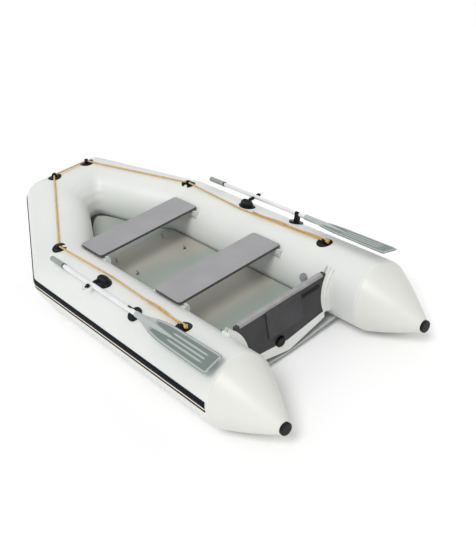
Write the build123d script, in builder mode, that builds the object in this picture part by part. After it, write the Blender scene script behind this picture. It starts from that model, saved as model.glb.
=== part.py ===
from build123d import *
import math
import os

os.makedirs("parts", exist_ok=True)

# Inflatable dinghy. Millimetres, +X to the bow, +Y to port, +Z up.
# The origin is on the ground, under the middle of the boat.

# Driving dimensions of the hull
length_overall = 3030
beam_over_tubes = 1500
tube_diameter = 431
fabric_wall = 1.2
bow_rise = 155  # how much higher the tube's axis is at the bow
bow_half_width = 175  # half of the blunt front, on the tube's axis
bow_taper_length = 680  # from the side tube's bend to the blunt front
cone_length = 320  # from the side tube's last seam to the cap
cone_tip_radius = 36
cone_tip_height = 158
cone_tip_inset = 7  # how far the tip leans in from the tube's axis
end_cap_length = 18
seat_gap = 0.3  # between a glued piece's curved face and the tube
strake_width = 64
strake_proud = 4
strake_angle = 8  # centre of the strake above the tube's side
strake_end = 15  # the strake stops this far before the cone's seam

# Floor and keel
deck_top = 180
deck_thickness = 70
deck_wall = 1.5
deck_squeeze = 0.6  # gap between the air deck's edge and the tubes
deck_lift = 110  # how far the deck's front end rises
deck_flat_past_bend = -40  # where the rise begins, from the side tubes' bend
deck_front_behind_bow = 169.5  # behind the front tube's axis
keel_height = 26  # outside of the bottom fabric, on the centreline
skin_wall = 1.5
keel_tube_radius = 36

# Transom
transom_from_stern = 564
transom_thickness = 25
transom_drop = 36  # from the top of the tubes to the top of the board
transom_bottom = 116
transom_deadrise = 38
transom_corner_drop = 40
holder_depth = 16  # rubber channel between the tube and the board
holder_lip = 22
holder_wall = 4
holder_low_angle = -18
holder_high_angle = 52
edging_height = 18
edging_wall = 3
motor_pad_width = 262
motor_pad_above_drain = 23
motor_pad_thickness = 8
motor_pad_lip = 34
clamp_plate_height = 110
label_plate_size = (140, 25)
drain_radius = 9
drain_height = 138
drain_offset = 56
drain_flange = 34

# Seats
seat_drop = 29  # from the top of the tubes to the seat
seat_thickness = 17
seat_width = 257
seat_end_gap = 7.5  # between a seat's end and the tube
seat_corner = 24
fore_seat_behind_bend = 161
aft_seat_ahead_of_transom = 562
seat_travel = 25
seat_bead_inset = 36  # from a seat's end in to the holder's bead
rail_width = 22
rail_height = 12

# Oars and rowlocks
rowlock_outboard = 35.5  # of the tube's axis
rowlock_radius = 36
rowlock_half_length = 50
rowlock_pad_length = 140
rowlock_pad_width = 84
rowlock_pad_rise = 6  # above the top of the tubes
oar_outboard = 115.5  # of the tube's axis
oar_rise = 29  # above the top of the tubes
oar_radius = 14
oar_wall = 1.5
oar_fore = 487  # grip end, ahead of the rowlock
oar_aft = 1173  # blade tip, behind the rowlock
grip_length = 154
grip_radius = 17
collar_width = 10
blade_neck = 483
blade_root = 600
blade_width = 134
blade_thickness = 6
blade_tilt = 24
pin_radius = 5
pin_clearance = 0.08
clip_from_rowlock = 413
clip_length = 30
clip_pad_radius = 46

# Grab line, its guides and small fittings
line_radius = 6
guide_radius = 50
guide_height = 4
guide_loop_radius = 13
guide_loop_wall = 5
guide_loop_width = 9
stern_guide_from_stern = 758
bow_guide_offset = 137
knot_radius = 14
loose_end_port = 375  # how far each loose end is laid back over the line
loose_end_starboard = 645
valve_from_stern = 747
valve_angle = 20
valve_radius = 29
valve_sleeve_radius = 19
valve_bore_radius = 15
valve_depth = 24
valve_flange = 5
deck_valve_place = (-130, -90)
lashing_eye_offset = 196
lashing_eye_behind_seat = 48  # from the fore seat's middle to the eyes' middle
lashing_eye_spacing = 264

# Places worked out from the dimensions above
tube_radius = tube_diameter / 2
tube_y = beam_over_tubes / 2 - tube_radius
stern_x = -length_overall / 2
front_x = length_overall / 2 - tube_radius
bend_x = front_x - bow_taper_length
tip_x = stern_x + end_cap_length
seam_x = tip_x + cone_length
transom_x = stern_x + transom_from_stern
transom_top = tube_diameter - transom_drop
transom_top_half = tube_y - tube_radius + holder_depth
seat_top = tube_diameter - seat_drop
rail_top = seat_top - seat_thickness
fore_seat_x = bend_x - fore_seat_behind_bend
aft_seat_x = transom_x + aft_seat_ahead_of_transom
seat_half_length = tube_y - math.sqrt(tube_radius**2 - (rail_top - tube_radius) ** 2) - seat_end_gap
seat_holder_offset = seat_half_length - seat_bead_inset
rowlock_offset = tube_y + rowlock_outboard
rowlock_pad_top = tube_diameter + rowlock_pad_rise
oar_offset = tube_y + oar_outboard
oar_height = tube_diameter + oar_rise
lashing_eye_x = fore_seat_x - lashing_eye_behind_seat

seam = Vector(seam_x, tube_y, tube_radius)
bend = Vector(bend_x, tube_y, tube_radius)
knuckle = Vector(front_x, bow_half_width, tube_radius + bow_rise)
far_knuckle = Vector(front_x, -bow_half_width, tube_radius + bow_rise)
side_way = Vector(1, 0, 0)
taper_way = (knuckle - bend).normalized()
front_way = Vector(0, -1, 0)
taper_steepness = math.hypot(taper_way.X, taper_way.Y)
stern_cut = Plane(origin=seam, z_dir=side_way)
bend_cut = Plane(origin=bend, z_dir=side_way + taper_way)
knuckle_cut = Plane(origin=knuckle, z_dir=taper_way + front_way)
middle_cut = Plane(origin=(front_x, 0, 0), z_dir=front_way)


def across(outward, cut):
    """Carry a tube's outward direction over a mitred seam to the next run."""
    normal = cut.z_dir
    return outward - normal * (2 * outward.dot(normal))


side_out = Vector(0, 1, 0)
taper_out = across(side_out, bend_cut)
front_out = across(taper_out, knuckle_cut)

# The three runs of the port half: start, end, first cut, last cut, outward direction
runs = {
    "side": (seam, bend, stern_cut, bend_cut, side_out),
    "taper": (bend, knuckle, bend_cut, knuckle_cut, taper_out),
    "front": (knuckle, far_knuckle, knuckle_cut, middle_cut, front_out),
}


def run_of_tube(name, outer, inner=0, arc=None):
    """One straight run of the port tube between its seams, round or as a strip of its arc."""
    start, end, first_cut, last_cut, outward = runs[name]
    along = (end - start).normalized()
    section = Plane(origin=start - along * outer, x_dir=outward, z_dir=along)
    with BuildPart() as run:
        with BuildSketch(section):
            Circle(outer)
            if inner:
                Circle(inner, mode=Mode.SUBTRACT)
            if arc:
                low, high = (math.radians(angle) for angle in arc)
                reach = 2 * outer
                Polygon(
                    (0, 0),
                    (reach * math.cos(low), reach * math.sin(low)),
                    (reach * math.cos(high), reach * math.sin(high)),
                    align=None,
                    mode=Mode.INTERSECT,
                )
        extrude(amount=(end - start).length + 2 * outer)
        split(bisect_by=first_cut, keep=Keep.TOP)
        split(bisect_by=last_cut, keep=Keep.BOTTOM)
    return run.part


def tube_envelope(gap):
    """The whole tube as one solid, grown by a gap, for cutting what lies against it."""
    with BuildPart() as envelope:
        for name in runs:
            run = run_of_tube(name, tube_radius + gap)
            add(run)
            mirror(run, about=Plane.XZ)
    return envelope.part


def save(piece, name):
    """Label a finished piece and write its STEP file."""
    piece.part.label = name
    export_step(piece.part, f"parts/{name}.step")


def save_pair(piece, name):
    """Write the port piece and its mirror image to starboard."""
    save(piece, f"{name}_port")
    with BuildPart() as twin:
        mirror(piece.part, about=Plane.XZ)
    save(twin, f"{name}_starboard")


glue_line = tube_envelope(seat_gap)

# Hull tubes: a shell for each fabric panel, meeting at the seams
valve_centre = Vector(
    stern_x + valve_from_stern,
    tube_y - tube_radius * math.cos(math.radians(valve_angle)),
    tube_radius + tube_radius * math.sin(math.radians(valve_angle)),
)
valve_normal = Vector(0, -math.cos(math.radians(valve_angle)), math.sin(math.radians(valve_angle)))
valve_plane = Plane(origin=valve_centre, x_dir=(1, 0, 0), z_dir=valve_normal)

with BuildPart() as side_tube:
    add(run_of_tube("side", tube_radius, tube_radius - fabric_wall))
    with BuildSketch(valve_plane):
        Circle(valve_sleeve_radius + seat_gap)
    extrude(amount=valve_radius, both=True, mode=Mode.SUBTRACT)
save_pair(side_tube, "side_tube")

with BuildPart() as bow_tube:
    add(run_of_tube("taper", tube_radius, tube_radius - fabric_wall))
save_pair(bow_tube, "bow_tube")

with BuildPart() as bow_tube_front:
    half_front = run_of_tube("front", tube_radius, tube_radius - fabric_wall)
    add(half_front)
    mirror(half_front, about=Plane.XZ)
save(bow_tube_front, "bow_tube_front")

with BuildPart() as chamber_baffle:
    with BuildSketch(Plane.XZ.offset(-fabric_wall / 2)):
        with Locations((front_x, tube_radius + bow_rise)):
            Circle(tube_radius - fabric_wall - seat_gap)
    extrude(amount=fabric_wall)
save(chamber_baffle, "chamber_baffle")

cone_tip = Vector(tip_x, tube_y - cone_tip_inset, cone_tip_height)
with BuildPart() as stern_cone:
    for shrink, mode in ((0, Mode.ADD), (fabric_wall, Mode.SUBTRACT)):
        with BuildSketch(Plane(origin=seam, z_dir=(-1, 0, 0))):
            Circle(tube_radius - shrink)
        with BuildSketch(Plane(origin=cone_tip + Vector(shrink, 0, 0), z_dir=(-1, 0, 0))):
            Circle(cone_tip_radius - shrink)
        loft(mode=mode)
save_pair(stern_cone, "stern_cone")

with BuildPart() as stern_end_caps:
    for side in (1, -1):
        centre = Vector(tip_x, side * cone_tip.Y, cone_tip_height)
        with BuildSketch(Plane(origin=centre, z_dir=(-1, 0, 0))):
            Circle(cone_tip_radius)
        extrude(amount=end_cap_length)
    fillet(stern_end_caps.edges().group_by(Axis.X)[0], end_cap_length / 3)
save(stern_end_caps, "stern_end_caps")

# Rubbing strake round the outside
half_arc = math.degrees(strake_width / 2 / tube_radius)
strake_arc = (strake_angle - half_arc, strake_angle + half_arc)
strake_outer = tube_radius + seat_gap + strake_proud

with BuildPart() as strake:
    for name in ("side", "taper"):
        add(run_of_tube(name, strake_outer, tube_radius + seat_gap, strake_arc))
    split(bisect_by=stern_cut.offset(strake_end), keep=Keep.TOP)
save_pair(strake, "strake")

with BuildPart() as strake_front:
    half_front = run_of_tube("front", strake_outer, tube_radius + seat_gap, strake_arc)
    add(half_front)
    mirror(half_front, about=Plane.XZ)
save(strake_front, "strake_front")

# Bottom fabric: a shallow vee that rises to meet the bow tubes
skin_back = (transom_x, keel_height, tube_y - 100, keel_height + 26)
skin_middle = (bend_x, keel_height, tube_y - 100, keel_height + 26)
skin_share = 0.56  # how far along the taper the third section lies
skin_rise_half = tube_y + skin_share * (bow_half_width - tube_y) - 33
skin_rise = (bend_x + skin_share * bow_taper_length, keel_height + 60, skin_rise_half, keel_height + 84)
skin_front = (front_x - 95, bow_rise + 35, bow_half_width + 25, bow_rise + 45)
with BuildPart() as bottom_skin:
    for x, keel, half, edge in (skin_back, skin_middle, skin_rise, skin_front):
        with BuildSketch(Plane.YZ.offset(x)):
            Polygon(
                (-half, edge),
                (0, keel),
                (half, edge),
                (half, edge + skin_wall),
                (0, keel + skin_wall),
                (-half, edge + skin_wall),
                align=None,
            )
    loft(ruled=True)
    add(glue_line, mode=Mode.SUBTRACT)
save(bottom_skin, "bottom_skin")

keel_start = transom_x + transom_thickness + 30
keel_tube_length = bend_x - keel_start
keel_axis = keel_height + skin_wall + keel_tube_radius + 2 * seat_gap
with BuildPart() as keel_tube:
    with BuildSketch(Plane.YZ.offset(keel_start)):
        with Locations((0, keel_axis)):
            Circle(keel_tube_radius)
            Circle(keel_tube_radius - fabric_wall, mode=Mode.SUBTRACT)
    extrude(amount=keel_tube_length)
    for end in (keel_start, keel_start + keel_tube_length - fabric_wall):
        with BuildSketch(Plane.YZ.offset(end)):
            with Locations((0, keel_axis)):
                Circle(keel_tube_radius)
        extrude(amount=fabric_wall)
save(keel_tube, "keel_tube")

# Air deck between the tubes, lifting towards the bow
deck_back = transom_x + transom_thickness + 24
deck_front = front_x - deck_front_behind_bow
deck_flat_end = bend_x + deck_flat_past_bend


def deck_body(inset):
    """The deck's closed form, or with an inset the air space inside its skin."""
    top = deck_top - inset
    bottom = deck_top - deck_thickness + inset
    back = deck_back + inset
    with BuildPart() as body:
        with BuildSketch(Plane.XZ):
            with BuildLine():
                flat = Line((back, top), (deck_flat_end, top))
                lift_end = (deck_front - inset, top + deck_lift)
                lift = TangentArc(flat @ 1, lift_end, tangent=flat % 1)
                nose_way = (lift % 1).rotate(Axis.Z, -90)
                nose = Line(lift @ 1, lift @ 1 + nose_way * (top - bottom))
                under = Line((back, bottom), (deck_flat_end, bottom))
                TangentArc(under @ 1, nose @ 1, tangent=under % 1)
                Line(flat @ 0, under @ 0)
            make_face()
        extrude(amount=tube_y, both=True)
        with BuildSketch():
            Polygon(
                (deck_back, -tube_y),
                (bend_x, -tube_y),
                (front_x, -bow_half_width),
                (front_x, bow_half_width),
                (bend_x, tube_y),
                (deck_back, tube_y),
                align=None,
            )
        extrude(amount=tube_diameter, mode=Mode.INTERSECT)
        add(tube_envelope(deck_squeeze + inset), mode=Mode.SUBTRACT)
    return body.part


with BuildPart() as air_deck:
    add(deck_body(0))
    with BuildSketch(Plane.XY.offset(deck_top)):
        with Locations(deck_valve_place):
            Circle(valve_sleeve_radius + seat_gap)
    extrude(amount=-valve_depth - 2, mode=Mode.SUBTRACT)
    with BuildPart(mode=Mode.PRIVATE) as deck_air:
        add(deck_body(deck_wall))
        with BuildSketch(Plane.XY.offset(deck_top)):
            with Locations(deck_valve_place):
                Circle(valve_sleeve_radius + seat_gap + deck_wall)
        extrude(amount=-valve_depth - 2 - deck_wall, mode=Mode.SUBTRACT)
    add(deck_air.part, mode=Mode.SUBTRACT)
save(air_deck, "air_deck")

# Transom board, shaped to the tubes, in its glued holders
board_edge = tube_envelope(holder_depth)
transom_aft = Plane(origin=(transom_x, 0, 0), x_dir=(0, 1, 0), z_dir=(1, 0, 0))
board_outline = [
    (0, transom_bottom),
    (tube_y, transom_bottom + transom_deadrise * tube_y / transom_top_half),
    (tube_y, transom_top - transom_corner_drop),
    (transom_top_half + 14, transom_top - transom_corner_drop),
    (transom_top_half, transom_top),
    (-transom_top_half, transom_top),
    (-transom_top_half - 14, transom_top - transom_corner_drop),
    (-tube_y, transom_top - transom_corner_drop),
    (-tube_y, transom_bottom + transom_deadrise * tube_y / transom_top_half),
]
drain_point = (drain_offset, drain_height)
with BuildPart() as transom_board:
    with BuildSketch(transom_aft):
        Polygon(*board_outline, align=None)
        with Locations(drain_point):
            Circle(drain_radius + 3, mode=Mode.SUBTRACT)
    extrude(amount=transom_thickness)
    add(board_edge, mode=Mode.SUBTRACT)
save(transom_board, "transom_board")

holder_back = transom_x - holder_wall - seat_gap
holder_length = transom_thickness + 2 * (holder_wall + seat_gap)
holder_arc = (holder_low_angle, holder_high_angle)
holder_section = Plane(origin=(holder_back, tube_y, tube_radius), x_dir=(0, -1, 0), z_dir=(-1, 0, 0))
with BuildPart() as transom_holder:
    for outer, length in ((holder_depth + holder_lip, holder_length), (holder_depth - seat_gap, 60)):
        with BuildSketch(holder_section.offset(-holder_length / 2 + length / 2)):
            Circle(tube_radius + outer)
            Circle(tube_radius + seat_gap, mode=Mode.SUBTRACT)
            low, high = (math.radians(angle) for angle in holder_arc)
            reach = 2 * tube_radius
            Polygon(
                (0, 0),
                (reach * math.cos(low), reach * math.sin(low)),
                (reach * math.cos(high), reach * math.sin(high)),
                align=None,
                mode=Mode.INTERSECT,
            )
        extrude(amount=-length)
    with BuildSketch(transom_aft.offset(-seat_gap)):
        with Locations((tube_y, tube_radius)):
            Circle(tube_radius + holder_depth + 2 * holder_lip)
            Circle(tube_radius + holder_depth - seat_gap, mode=Mode.SUBTRACT)
    extrude(amount=transom_thickness + 2 * seat_gap, mode=Mode.SUBTRACT)
save_pair(transom_holder, "transom_holder")

edging_half = transom_top_half - 22
edging_back = transom_aft.offset(-edging_wall - seat_gap)
with BuildPart() as transom_top_edging:
    with BuildSketch(edging_back):
        with Locations((0, transom_top + edging_wall + seat_gap)):
            Rectangle(2 * edging_half, edging_height, align=(Align.CENTER, Align.MAX))
    extrude(amount=transom_thickness + 2 * (edging_wall + seat_gap))
    with BuildSketch(transom_aft.offset(-seat_gap)):
        with Locations((0, transom_top + seat_gap)):
            Rectangle(2 * tube_y, 2 * edging_height, align=(Align.CENTER, Align.MAX))
    extrude(amount=transom_thickness + 2 * seat_gap, mode=Mode.SUBTRACT)
save(transom_top_edging, "transom_top_edging")

# The bottom fabric's flap, folded up against the board's lower edge
flap_half = transom_top_half - 39
flap_rise = transom_deadrise * flap_half / transom_top_half
flap_low = transom_bottom - seat_gap
with BuildPart() as transom_bottom_flap:
    with BuildSketch(transom_aft):
        Polygon(
            (0, flap_low),
            (flap_half, flap_low + flap_rise),
            (flap_half, flap_low + flap_rise - 44),
            (0, keel_height + skin_wall + seat_gap + 14),
            (-flap_half, flap_low + flap_rise - 44),
            (-flap_half, flap_low + flap_rise),
            align=None,
        )
    extrude(amount=6)
    add(glue_line, mode=Mode.SUBTRACT)
save(transom_bottom_flap, "transom_bottom_flap")

# Motor pad outside, clamp plate inside and a blank label plate
pad_top = transom_top - edging_height + edging_wall
motor_pad_height = pad_top - drain_height - drain_flange - motor_pad_above_drain
with BuildPart() as motor_pad:
    with BuildSketch(transom_aft):
        with Locations((0, pad_top)):
            RectangleRounded(motor_pad_width, motor_pad_height, 8, align=(Align.CENTER, Align.MAX))
    extrude(amount=-motor_pad_thickness)
    with BuildSketch(transom_aft.offset(-motor_pad_thickness)):
        with Locations((0, pad_top)):
            Rectangle(motor_pad_width, motor_pad_lip, align=(Align.CENTER, Align.MAX))
    extrude(amount=-4)
save(motor_pad, "motor_pad")

with BuildPart() as clamp_plate:
    with BuildSketch(transom_aft.offset(transom_thickness)):
        with Locations((0, pad_top)):
            RectangleRounded(motor_pad_width, clamp_plate_height, 8, align=(Align.CENTER, Align.MAX))
    extrude(amount=motor_pad_thickness)
save(clamp_plate, "clamp_plate")

with BuildPart() as label_plate:
    with BuildSketch(transom_aft):
        with Locations((-motor_pad_width / 2 - 12 - label_plate_size[0] / 2, pad_top - 46)):
            RectangleRounded(*label_plate_size, 4)
    extrude(amount=-2)
save(label_plate, "label_plate")

# Drain through the board, with a flap that hangs over its outer end
flap_hinge_height = drain_height + 24
flap_pin_radius = 2
flap_pin_out = 13  # hinge pin's distance behind the board
flap_knuckle_radius = 5.5
with BuildPart() as drain_body:
    with BuildSketch(transom_aft):
        with Locations(drain_point):
            Circle(drain_flange)
            with Locations((0, 24)):
                Rectangle(26, 12)
    extrude(amount=-6)
    for side in (-1, 1):
        with BuildSketch(Plane.XZ.offset(-drain_offset + side * 17 - 4)):
            with Locations((transom_x - flap_pin_out, flap_hinge_height)):
                Rectangle(flap_pin_out, 12, align=(Align.MIN, Align.CENTER))
                Circle(6)
                Circle(flap_pin_radius + 0.05, mode=Mode.SUBTRACT)
        extrude(amount=8)
    with BuildSketch(transom_aft):
        with Locations(drain_point):
            Circle(drain_radius + 3 - seat_gap)
    extrude(amount=transom_thickness + 4)
    with BuildSketch(transom_aft.offset(-20)):
        with Locations(drain_point):
            Circle(drain_radius)
    extrude(amount=transom_thickness + 40, mode=Mode.SUBTRACT)
save(drain_body, "drain_body")

with BuildPart() as drain_flap:
    with BuildSketch(transom_aft.offset(-7)):
        with Locations(drain_point):
            Circle(drain_flange - 4)
            with Locations((0, 14)):
                Rectangle(80, 40, align=(Align.CENTER, Align.MIN), mode=Mode.SUBTRACT)
            with Locations((0, 10)):
                Rectangle(24, 14, align=(Align.CENTER, Align.MIN))
    extrude(amount=-4)
    for radius, half in ((flap_knuckle_radius, 12), (flap_pin_radius, 21)):
        with BuildSketch(Plane.XZ.offset(-drain_offset - half)):
            with Locations((transom_x - flap_pin_out, flap_hinge_height)):
                Circle(radius)
        extrude(amount=2 * half)
save(drain_flap, "drain_flap")

# Seats: a board with a rail under each end, sliding on a holder glued to the tube
rail_bottom = rail_top - rail_height
rail_roof = 2
rail_lip = 3
slot_width = 8
groove_width = 14
slide_gap = 0.4
holder_block_top = rail_bottom - slide_gap
holder_inner = seat_holder_offset - 14
bead_low = rail_bottom + rail_lip + slide_gap
bead_high = rail_top - rail_roof - slide_gap

for name, x in (("fore", fore_seat_x), ("aft", aft_seat_x)):
    with BuildPart() as seat_board:
        with BuildSketch(Plane.XY.offset(rail_top)):
            with Locations((x, 0)):
                RectangleRounded(seat_width, 2 * seat_half_length, seat_corner)
        extrude(amount=seat_thickness)
        chamfer(seat_board.edges().group_by(Axis.Z)[-1], 2)
    save(seat_board, f"seat_board_{name}")

    with BuildPart() as seat_rails:
        for side in (1, -1):
            with BuildSketch(Plane.YZ.offset(x - seat_width / 2 + 10)):
                with Locations((side * seat_holder_offset, rail_bottom)):
                    Rectangle(rail_width, rail_height, align=(Align.CENTER, Align.MIN))
                    Rectangle(
                        slot_width,
                        rail_height - rail_roof,
                        align=(Align.CENTER, Align.MIN),
                        mode=Mode.SUBTRACT,
                    )
                with Locations((side * seat_holder_offset, rail_bottom + rail_lip)):
                    Rectangle(
                        groove_width,
                        rail_height - rail_roof - rail_lip,
                        align=(Align.CENTER, Align.MIN),
                        mode=Mode.SUBTRACT,
                    )
            extrude(amount=seat_width - 20)
    save(seat_rails, f"seat_rails_{name}")

    with BuildPart() as seat_holders:
        with BuildSketch(Plane.YZ.offset(x - seat_width / 2 - seat_travel)):
            for side in (1, -1):
                Polygon(
                    (side * holder_inner, holder_block_top),
                    (side * (holder_inner + 60), holder_block_top),
                    (side * (holder_inner + 60), holder_block_top - 80),
                    (side * (holder_inner + 18), holder_block_top - 80),
                    (side * holder_inner, holder_block_top - 20),
                    align=None,
                )
                with Locations((side * seat_holder_offset, holder_block_top)):
                    Rectangle(
                        slot_width - 2 * slide_gap,
                        bead_high - holder_block_top,
                        align=(Align.CENTER, Align.MIN),
                    )
                with Locations((side * seat_holder_offset, bead_low)):
                    Rectangle(
                        groove_width - 2 * slide_gap,
                        bead_high - bead_low,
                        align=(Align.CENTER, Align.MIN),
                    )
        extrude(amount=seat_width + 2 * seat_travel)
        add(glue_line, mode=Mode.SUBTRACT)
    save(seat_holders, f"seat_holders_{name}")

# Inflation valves: one in each side tube and one in the air deck
cap_radius = 25
cap_height = 9
poppet_travel = 5
poppet_web = -13  # underside of the web that the poppet closes against


def valve_body(plane, glued=None):
    """Flange, sleeve and web of a valve, with its flange cut to what it is glued to."""
    with BuildPart() as body:
        with BuildSketch(plane.offset(-10 if glued else 0)):
            Circle(valve_radius)
        extrude(amount=valve_flange + (10 if glued else 0))
        if glued:
            add(glued, mode=Mode.SUBTRACT)
        with BuildSketch(plane.offset(-valve_depth)):
            Circle(valve_sleeve_radius)
        extrude(amount=valve_depth + valve_flange)
        with BuildSketch(plane.offset(-valve_depth)):
            Circle(valve_bore_radius)
        extrude(amount=valve_depth + valve_flange, mode=Mode.SUBTRACT)
        with BuildSketch(plane.offset(poppet_web)):
            Circle(valve_bore_radius)
            Circle(3.1, mode=Mode.SUBTRACT)
            with PolarLocations(8, 4):
                Circle(2.6, mode=Mode.SUBTRACT)
        extrude(amount=2)
    return body


def valve_cap(plane):
    """Bayonet cap with a grip bar and a skirt that plugs the bore."""
    with BuildPart() as cap:
        with BuildSketch(plane.offset(valve_flange + seat_gap)):
            Circle(cap_radius)
        extrude(amount=cap_height)
        with BuildSketch(plane.offset(valve_flange + seat_gap + cap_height)):
            SlotOverall(2 * cap_radius - 8, 9)
        extrude(amount=3)
        with BuildSketch(plane.offset(valve_flange + seat_gap)):
            Circle(valve_bore_radius - seat_gap)
            Circle(valve_bore_radius - 3, mode=Mode.SUBTRACT)
        extrude(amount=-5)
    return cap


def valve_poppet(plane):
    """Spring-closed disc under the web, with a stem and push button above it."""
    with BuildPart() as poppet:
        with BuildSketch(plane.offset(poppet_web - 0.2)):
            Circle(12)
        extrude(amount=-2.5)
        with BuildSketch(plane.offset(poppet_web - 1)):
            Circle(3)
        extrude(amount=13)
        with BuildSketch(plane.offset(poppet_web + 10)):
            Circle(4.5)
        extrude(amount=2)
    return poppet


save_pair(valve_body(valve_plane, glue_line), "valve_body")
save_pair(valve_cap(valve_plane), "valve_cap")
save_pair(valve_poppet(valve_plane), "valve_poppet")
deck_valve_plane = Plane(origin=(*deck_valve_place, deck_top))
save(valve_body(deck_valve_plane), "deck_valve_body")
save(valve_cap(deck_valve_plane), "deck_valve_cap")

# Grab line and its glued guides
line_gap = 1.6
pad_surface = tube_radius + seat_gap + guide_height
level_height = tube_radius + pad_surface + line_gap + line_radius
rising_height = tube_radius + pad_surface / taper_steepness + line_gap + line_radius
stern_guide = Vector(stern_x + stern_guide_from_stern, tube_y, level_height)
bend_guide = Vector(bend_x - 14, tube_y, rising_height)
bow_guide = Vector(front_x, bow_guide_offset, rising_height + bow_rise)
line_at_rowlock = Vector(0, rowlock_offset - rowlock_half_length - line_radius - 6, level_height - guide_height)
taper_angle = math.degrees(math.atan2(taper_way.Y, taper_way.X))
guide_places = (
    (stern_guide, 0),
    (bend_guide, taper_angle / 2),
    (bow_guide, (taper_angle - 90) / 2),
)
loop_outer = guide_loop_radius + guide_loop_wall
loop_above_line = guide_loop_radius - line_radius - line_gap
pad_skin = tube_envelope(seat_gap + guide_height)
with BuildPart() as line_guides:
    for place, angle in guide_places:
        for side in (1, -1):
            hole = Vector(place.X, side * place.Y, place.Z + loop_above_line)
            with BuildPart(mode=Mode.PRIVATE) as pad:
                with BuildSketch(Plane(origin=hole)):
                    Circle(guide_radius)
                extrude(amount=-60)
                add(pad_skin, mode=Mode.INTERSECT)
            add(pad.part)
            turn = math.radians(side * angle)
            loop_plane = Plane(
                origin=hole,
                x_dir=(-math.sin(turn), math.cos(turn), 0),
                z_dir=(math.cos(turn), math.sin(turn), 0),
            )
            with BuildSketch(loop_plane.offset(-guide_loop_width / 2)):
                Circle(loop_outer)
                Rectangle(2 * loop_outer, 40, align=(Align.CENTER, Align.MAX))
                Circle(guide_loop_radius, mode=Mode.SUBTRACT)
            extrude(amount=guide_loop_width)
    add(glue_line, mode=Mode.SUBTRACT)
save(line_guides, "line_guides")

port_route = [stern_guide - Vector(18, 0, 0), line_at_rowlock, bend_guide, bow_guide]
line_route = port_route + [Vector(p.X, -p.Y, p.Z) for p in reversed(port_route)]
corner_radii = [400, 30, 12]
with BuildPart() as grab_line:
    with BuildLine():
        route = FilletPolyline(*line_route, radius=corner_radii + corner_radii[::-1])
    with BuildSketch(Plane(origin=line_route[0], z_dir=route % 0)):
        Circle(line_radius)
    sweep()
save(grab_line, "grab_line")
print("grab line", round(route.length), "mm long, corner radii", corner_radii)

loose_end_rise = 2 * line_radius + seat_gap
with BuildPart() as line_knots:
    for side in (1, -1):
        end = line_route[0]
        middle = Vector(end.X - 11, side * end.Y, end.Z + 4)
        with Locations(middle):
            Sphere(knot_radius)
    with BuildSketch(Plane.YZ.offset(line_route[0].X - 0.1)):
        Rectangle(4 * tube_y, 4 * tube_y)
    extrude(amount=4 * knot_radius, mode=Mode.SUBTRACT)
    add(pad_skin, mode=Mode.SUBTRACT)
    line_way = line_route[1] - line_route[0]
    for side, length in ((1, loose_end_port), (-1, loose_end_starboard)):
        start = Vector(end.X - 4, side * end.Y, end.Z + loose_end_rise)
        with BuildSketch(Plane(origin=start, z_dir=(line_way.X, side * line_way.Y, line_way.Z))):
            Circle(line_radius)
        extrude(amount=length)
save(line_knots, "line_knots")

# Rowlocks: a glued pad with a pivot, and a ribbed block that swivels on it
pivot_radius = 8
pivot_height = 14
block_gap = 0.5
block_bottom = rowlock_pad_top + block_gap
block_inner = rowlock_offset - rowlock_radius
boss_end = oar_offset - oar_radius - 2
with BuildPart() as rowlock_pad:
    with BuildSketch(Plane.XY.offset(rowlock_pad_top - 60)):
        with Locations((0, rowlock_offset)):
            Ellipse(rowlock_pad_length / 2, rowlock_pad_width / 2)
    extrude(amount=60)
    add(glue_line, mode=Mode.SUBTRACT)
    with BuildSketch(Plane.XY.offset(rowlock_pad_top)):
        with Locations((0, rowlock_offset)):
            Circle(pivot_radius)
    extrude(amount=pivot_height)
save_pair(rowlock_pad, "rowlock_pad")

with BuildPart() as rowlock_block:
    with BuildSketch(Plane.YZ.offset(-rowlock_half_length)):
        with Locations((rowlock_offset, block_bottom)):
            Circle(rowlock_radius - 2)
    extrude(amount=2 * rowlock_half_length)
    rib_step = rowlock_half_length / 4
    for rib in range(-3, 4):
        with BuildSketch(Plane.YZ.offset(rib * rib_step - 3)):
            with Locations((rowlock_offset, block_bottom)):
                Circle(rowlock_radius)
        extrude(amount=6)
    with BuildSketch(Plane.XY.offset(block_bottom)):
        with Locations((0, rowlock_offset)):
            Ellipse(rowlock_half_length, rowlock_radius)
    extrude(amount=rowlock_radius, mode=Mode.INTERSECT)
    with BuildSketch(Plane.XZ.offset(-boss_end)):
        with Locations((0, oar_height)):
            Circle(12)
    extrude(amount=boss_end - rowlock_offset - 15)
    with BuildSketch(Plane.XY.offset(block_bottom)):
        with Locations((0, rowlock_offset)):
            Circle(pivot_radius + pin_clearance)
    extrude(amount=pivot_height + 1, mode=Mode.SUBTRACT)
    with BuildSketch(Plane.XZ.offset(-boss_end)):
        with Locations((0, oar_height)):
            Circle(pin_radius + pin_clearance)
    extrude(amount=boss_end - block_inner - 12, mode=Mode.SUBTRACT)
save_pair(rowlock_block, "rowlock_block")

knob_start = oar_offset + oar_radius + 3
knob_length = 16
ring_hole_y = knob_start + knob_length + 5
pin_end = ring_hole_y + 6
ring_radius = 12
ring_wire = 1.2
with BuildPart() as rowlock_pin:
    with BuildSketch(Plane.XZ.offset(-pin_end)):
        with Locations((0, oar_height)):
            Circle(pin_radius)
    extrude(amount=pin_end - block_inner - 13)
    with BuildSketch(Plane.XZ.offset(-knob_start - knob_length)):
        with Locations((0, oar_height)):
            Circle(13)
    extrude(amount=knob_length)
    with BuildSketch(Plane.XY.offset(oar_height - 10)):
        with Locations((0, ring_hole_y)):
            Circle(2.5)
    extrude(amount=20, mode=Mode.SUBTRACT)
save_pair(rowlock_pin, "rowlock_pin")

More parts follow.
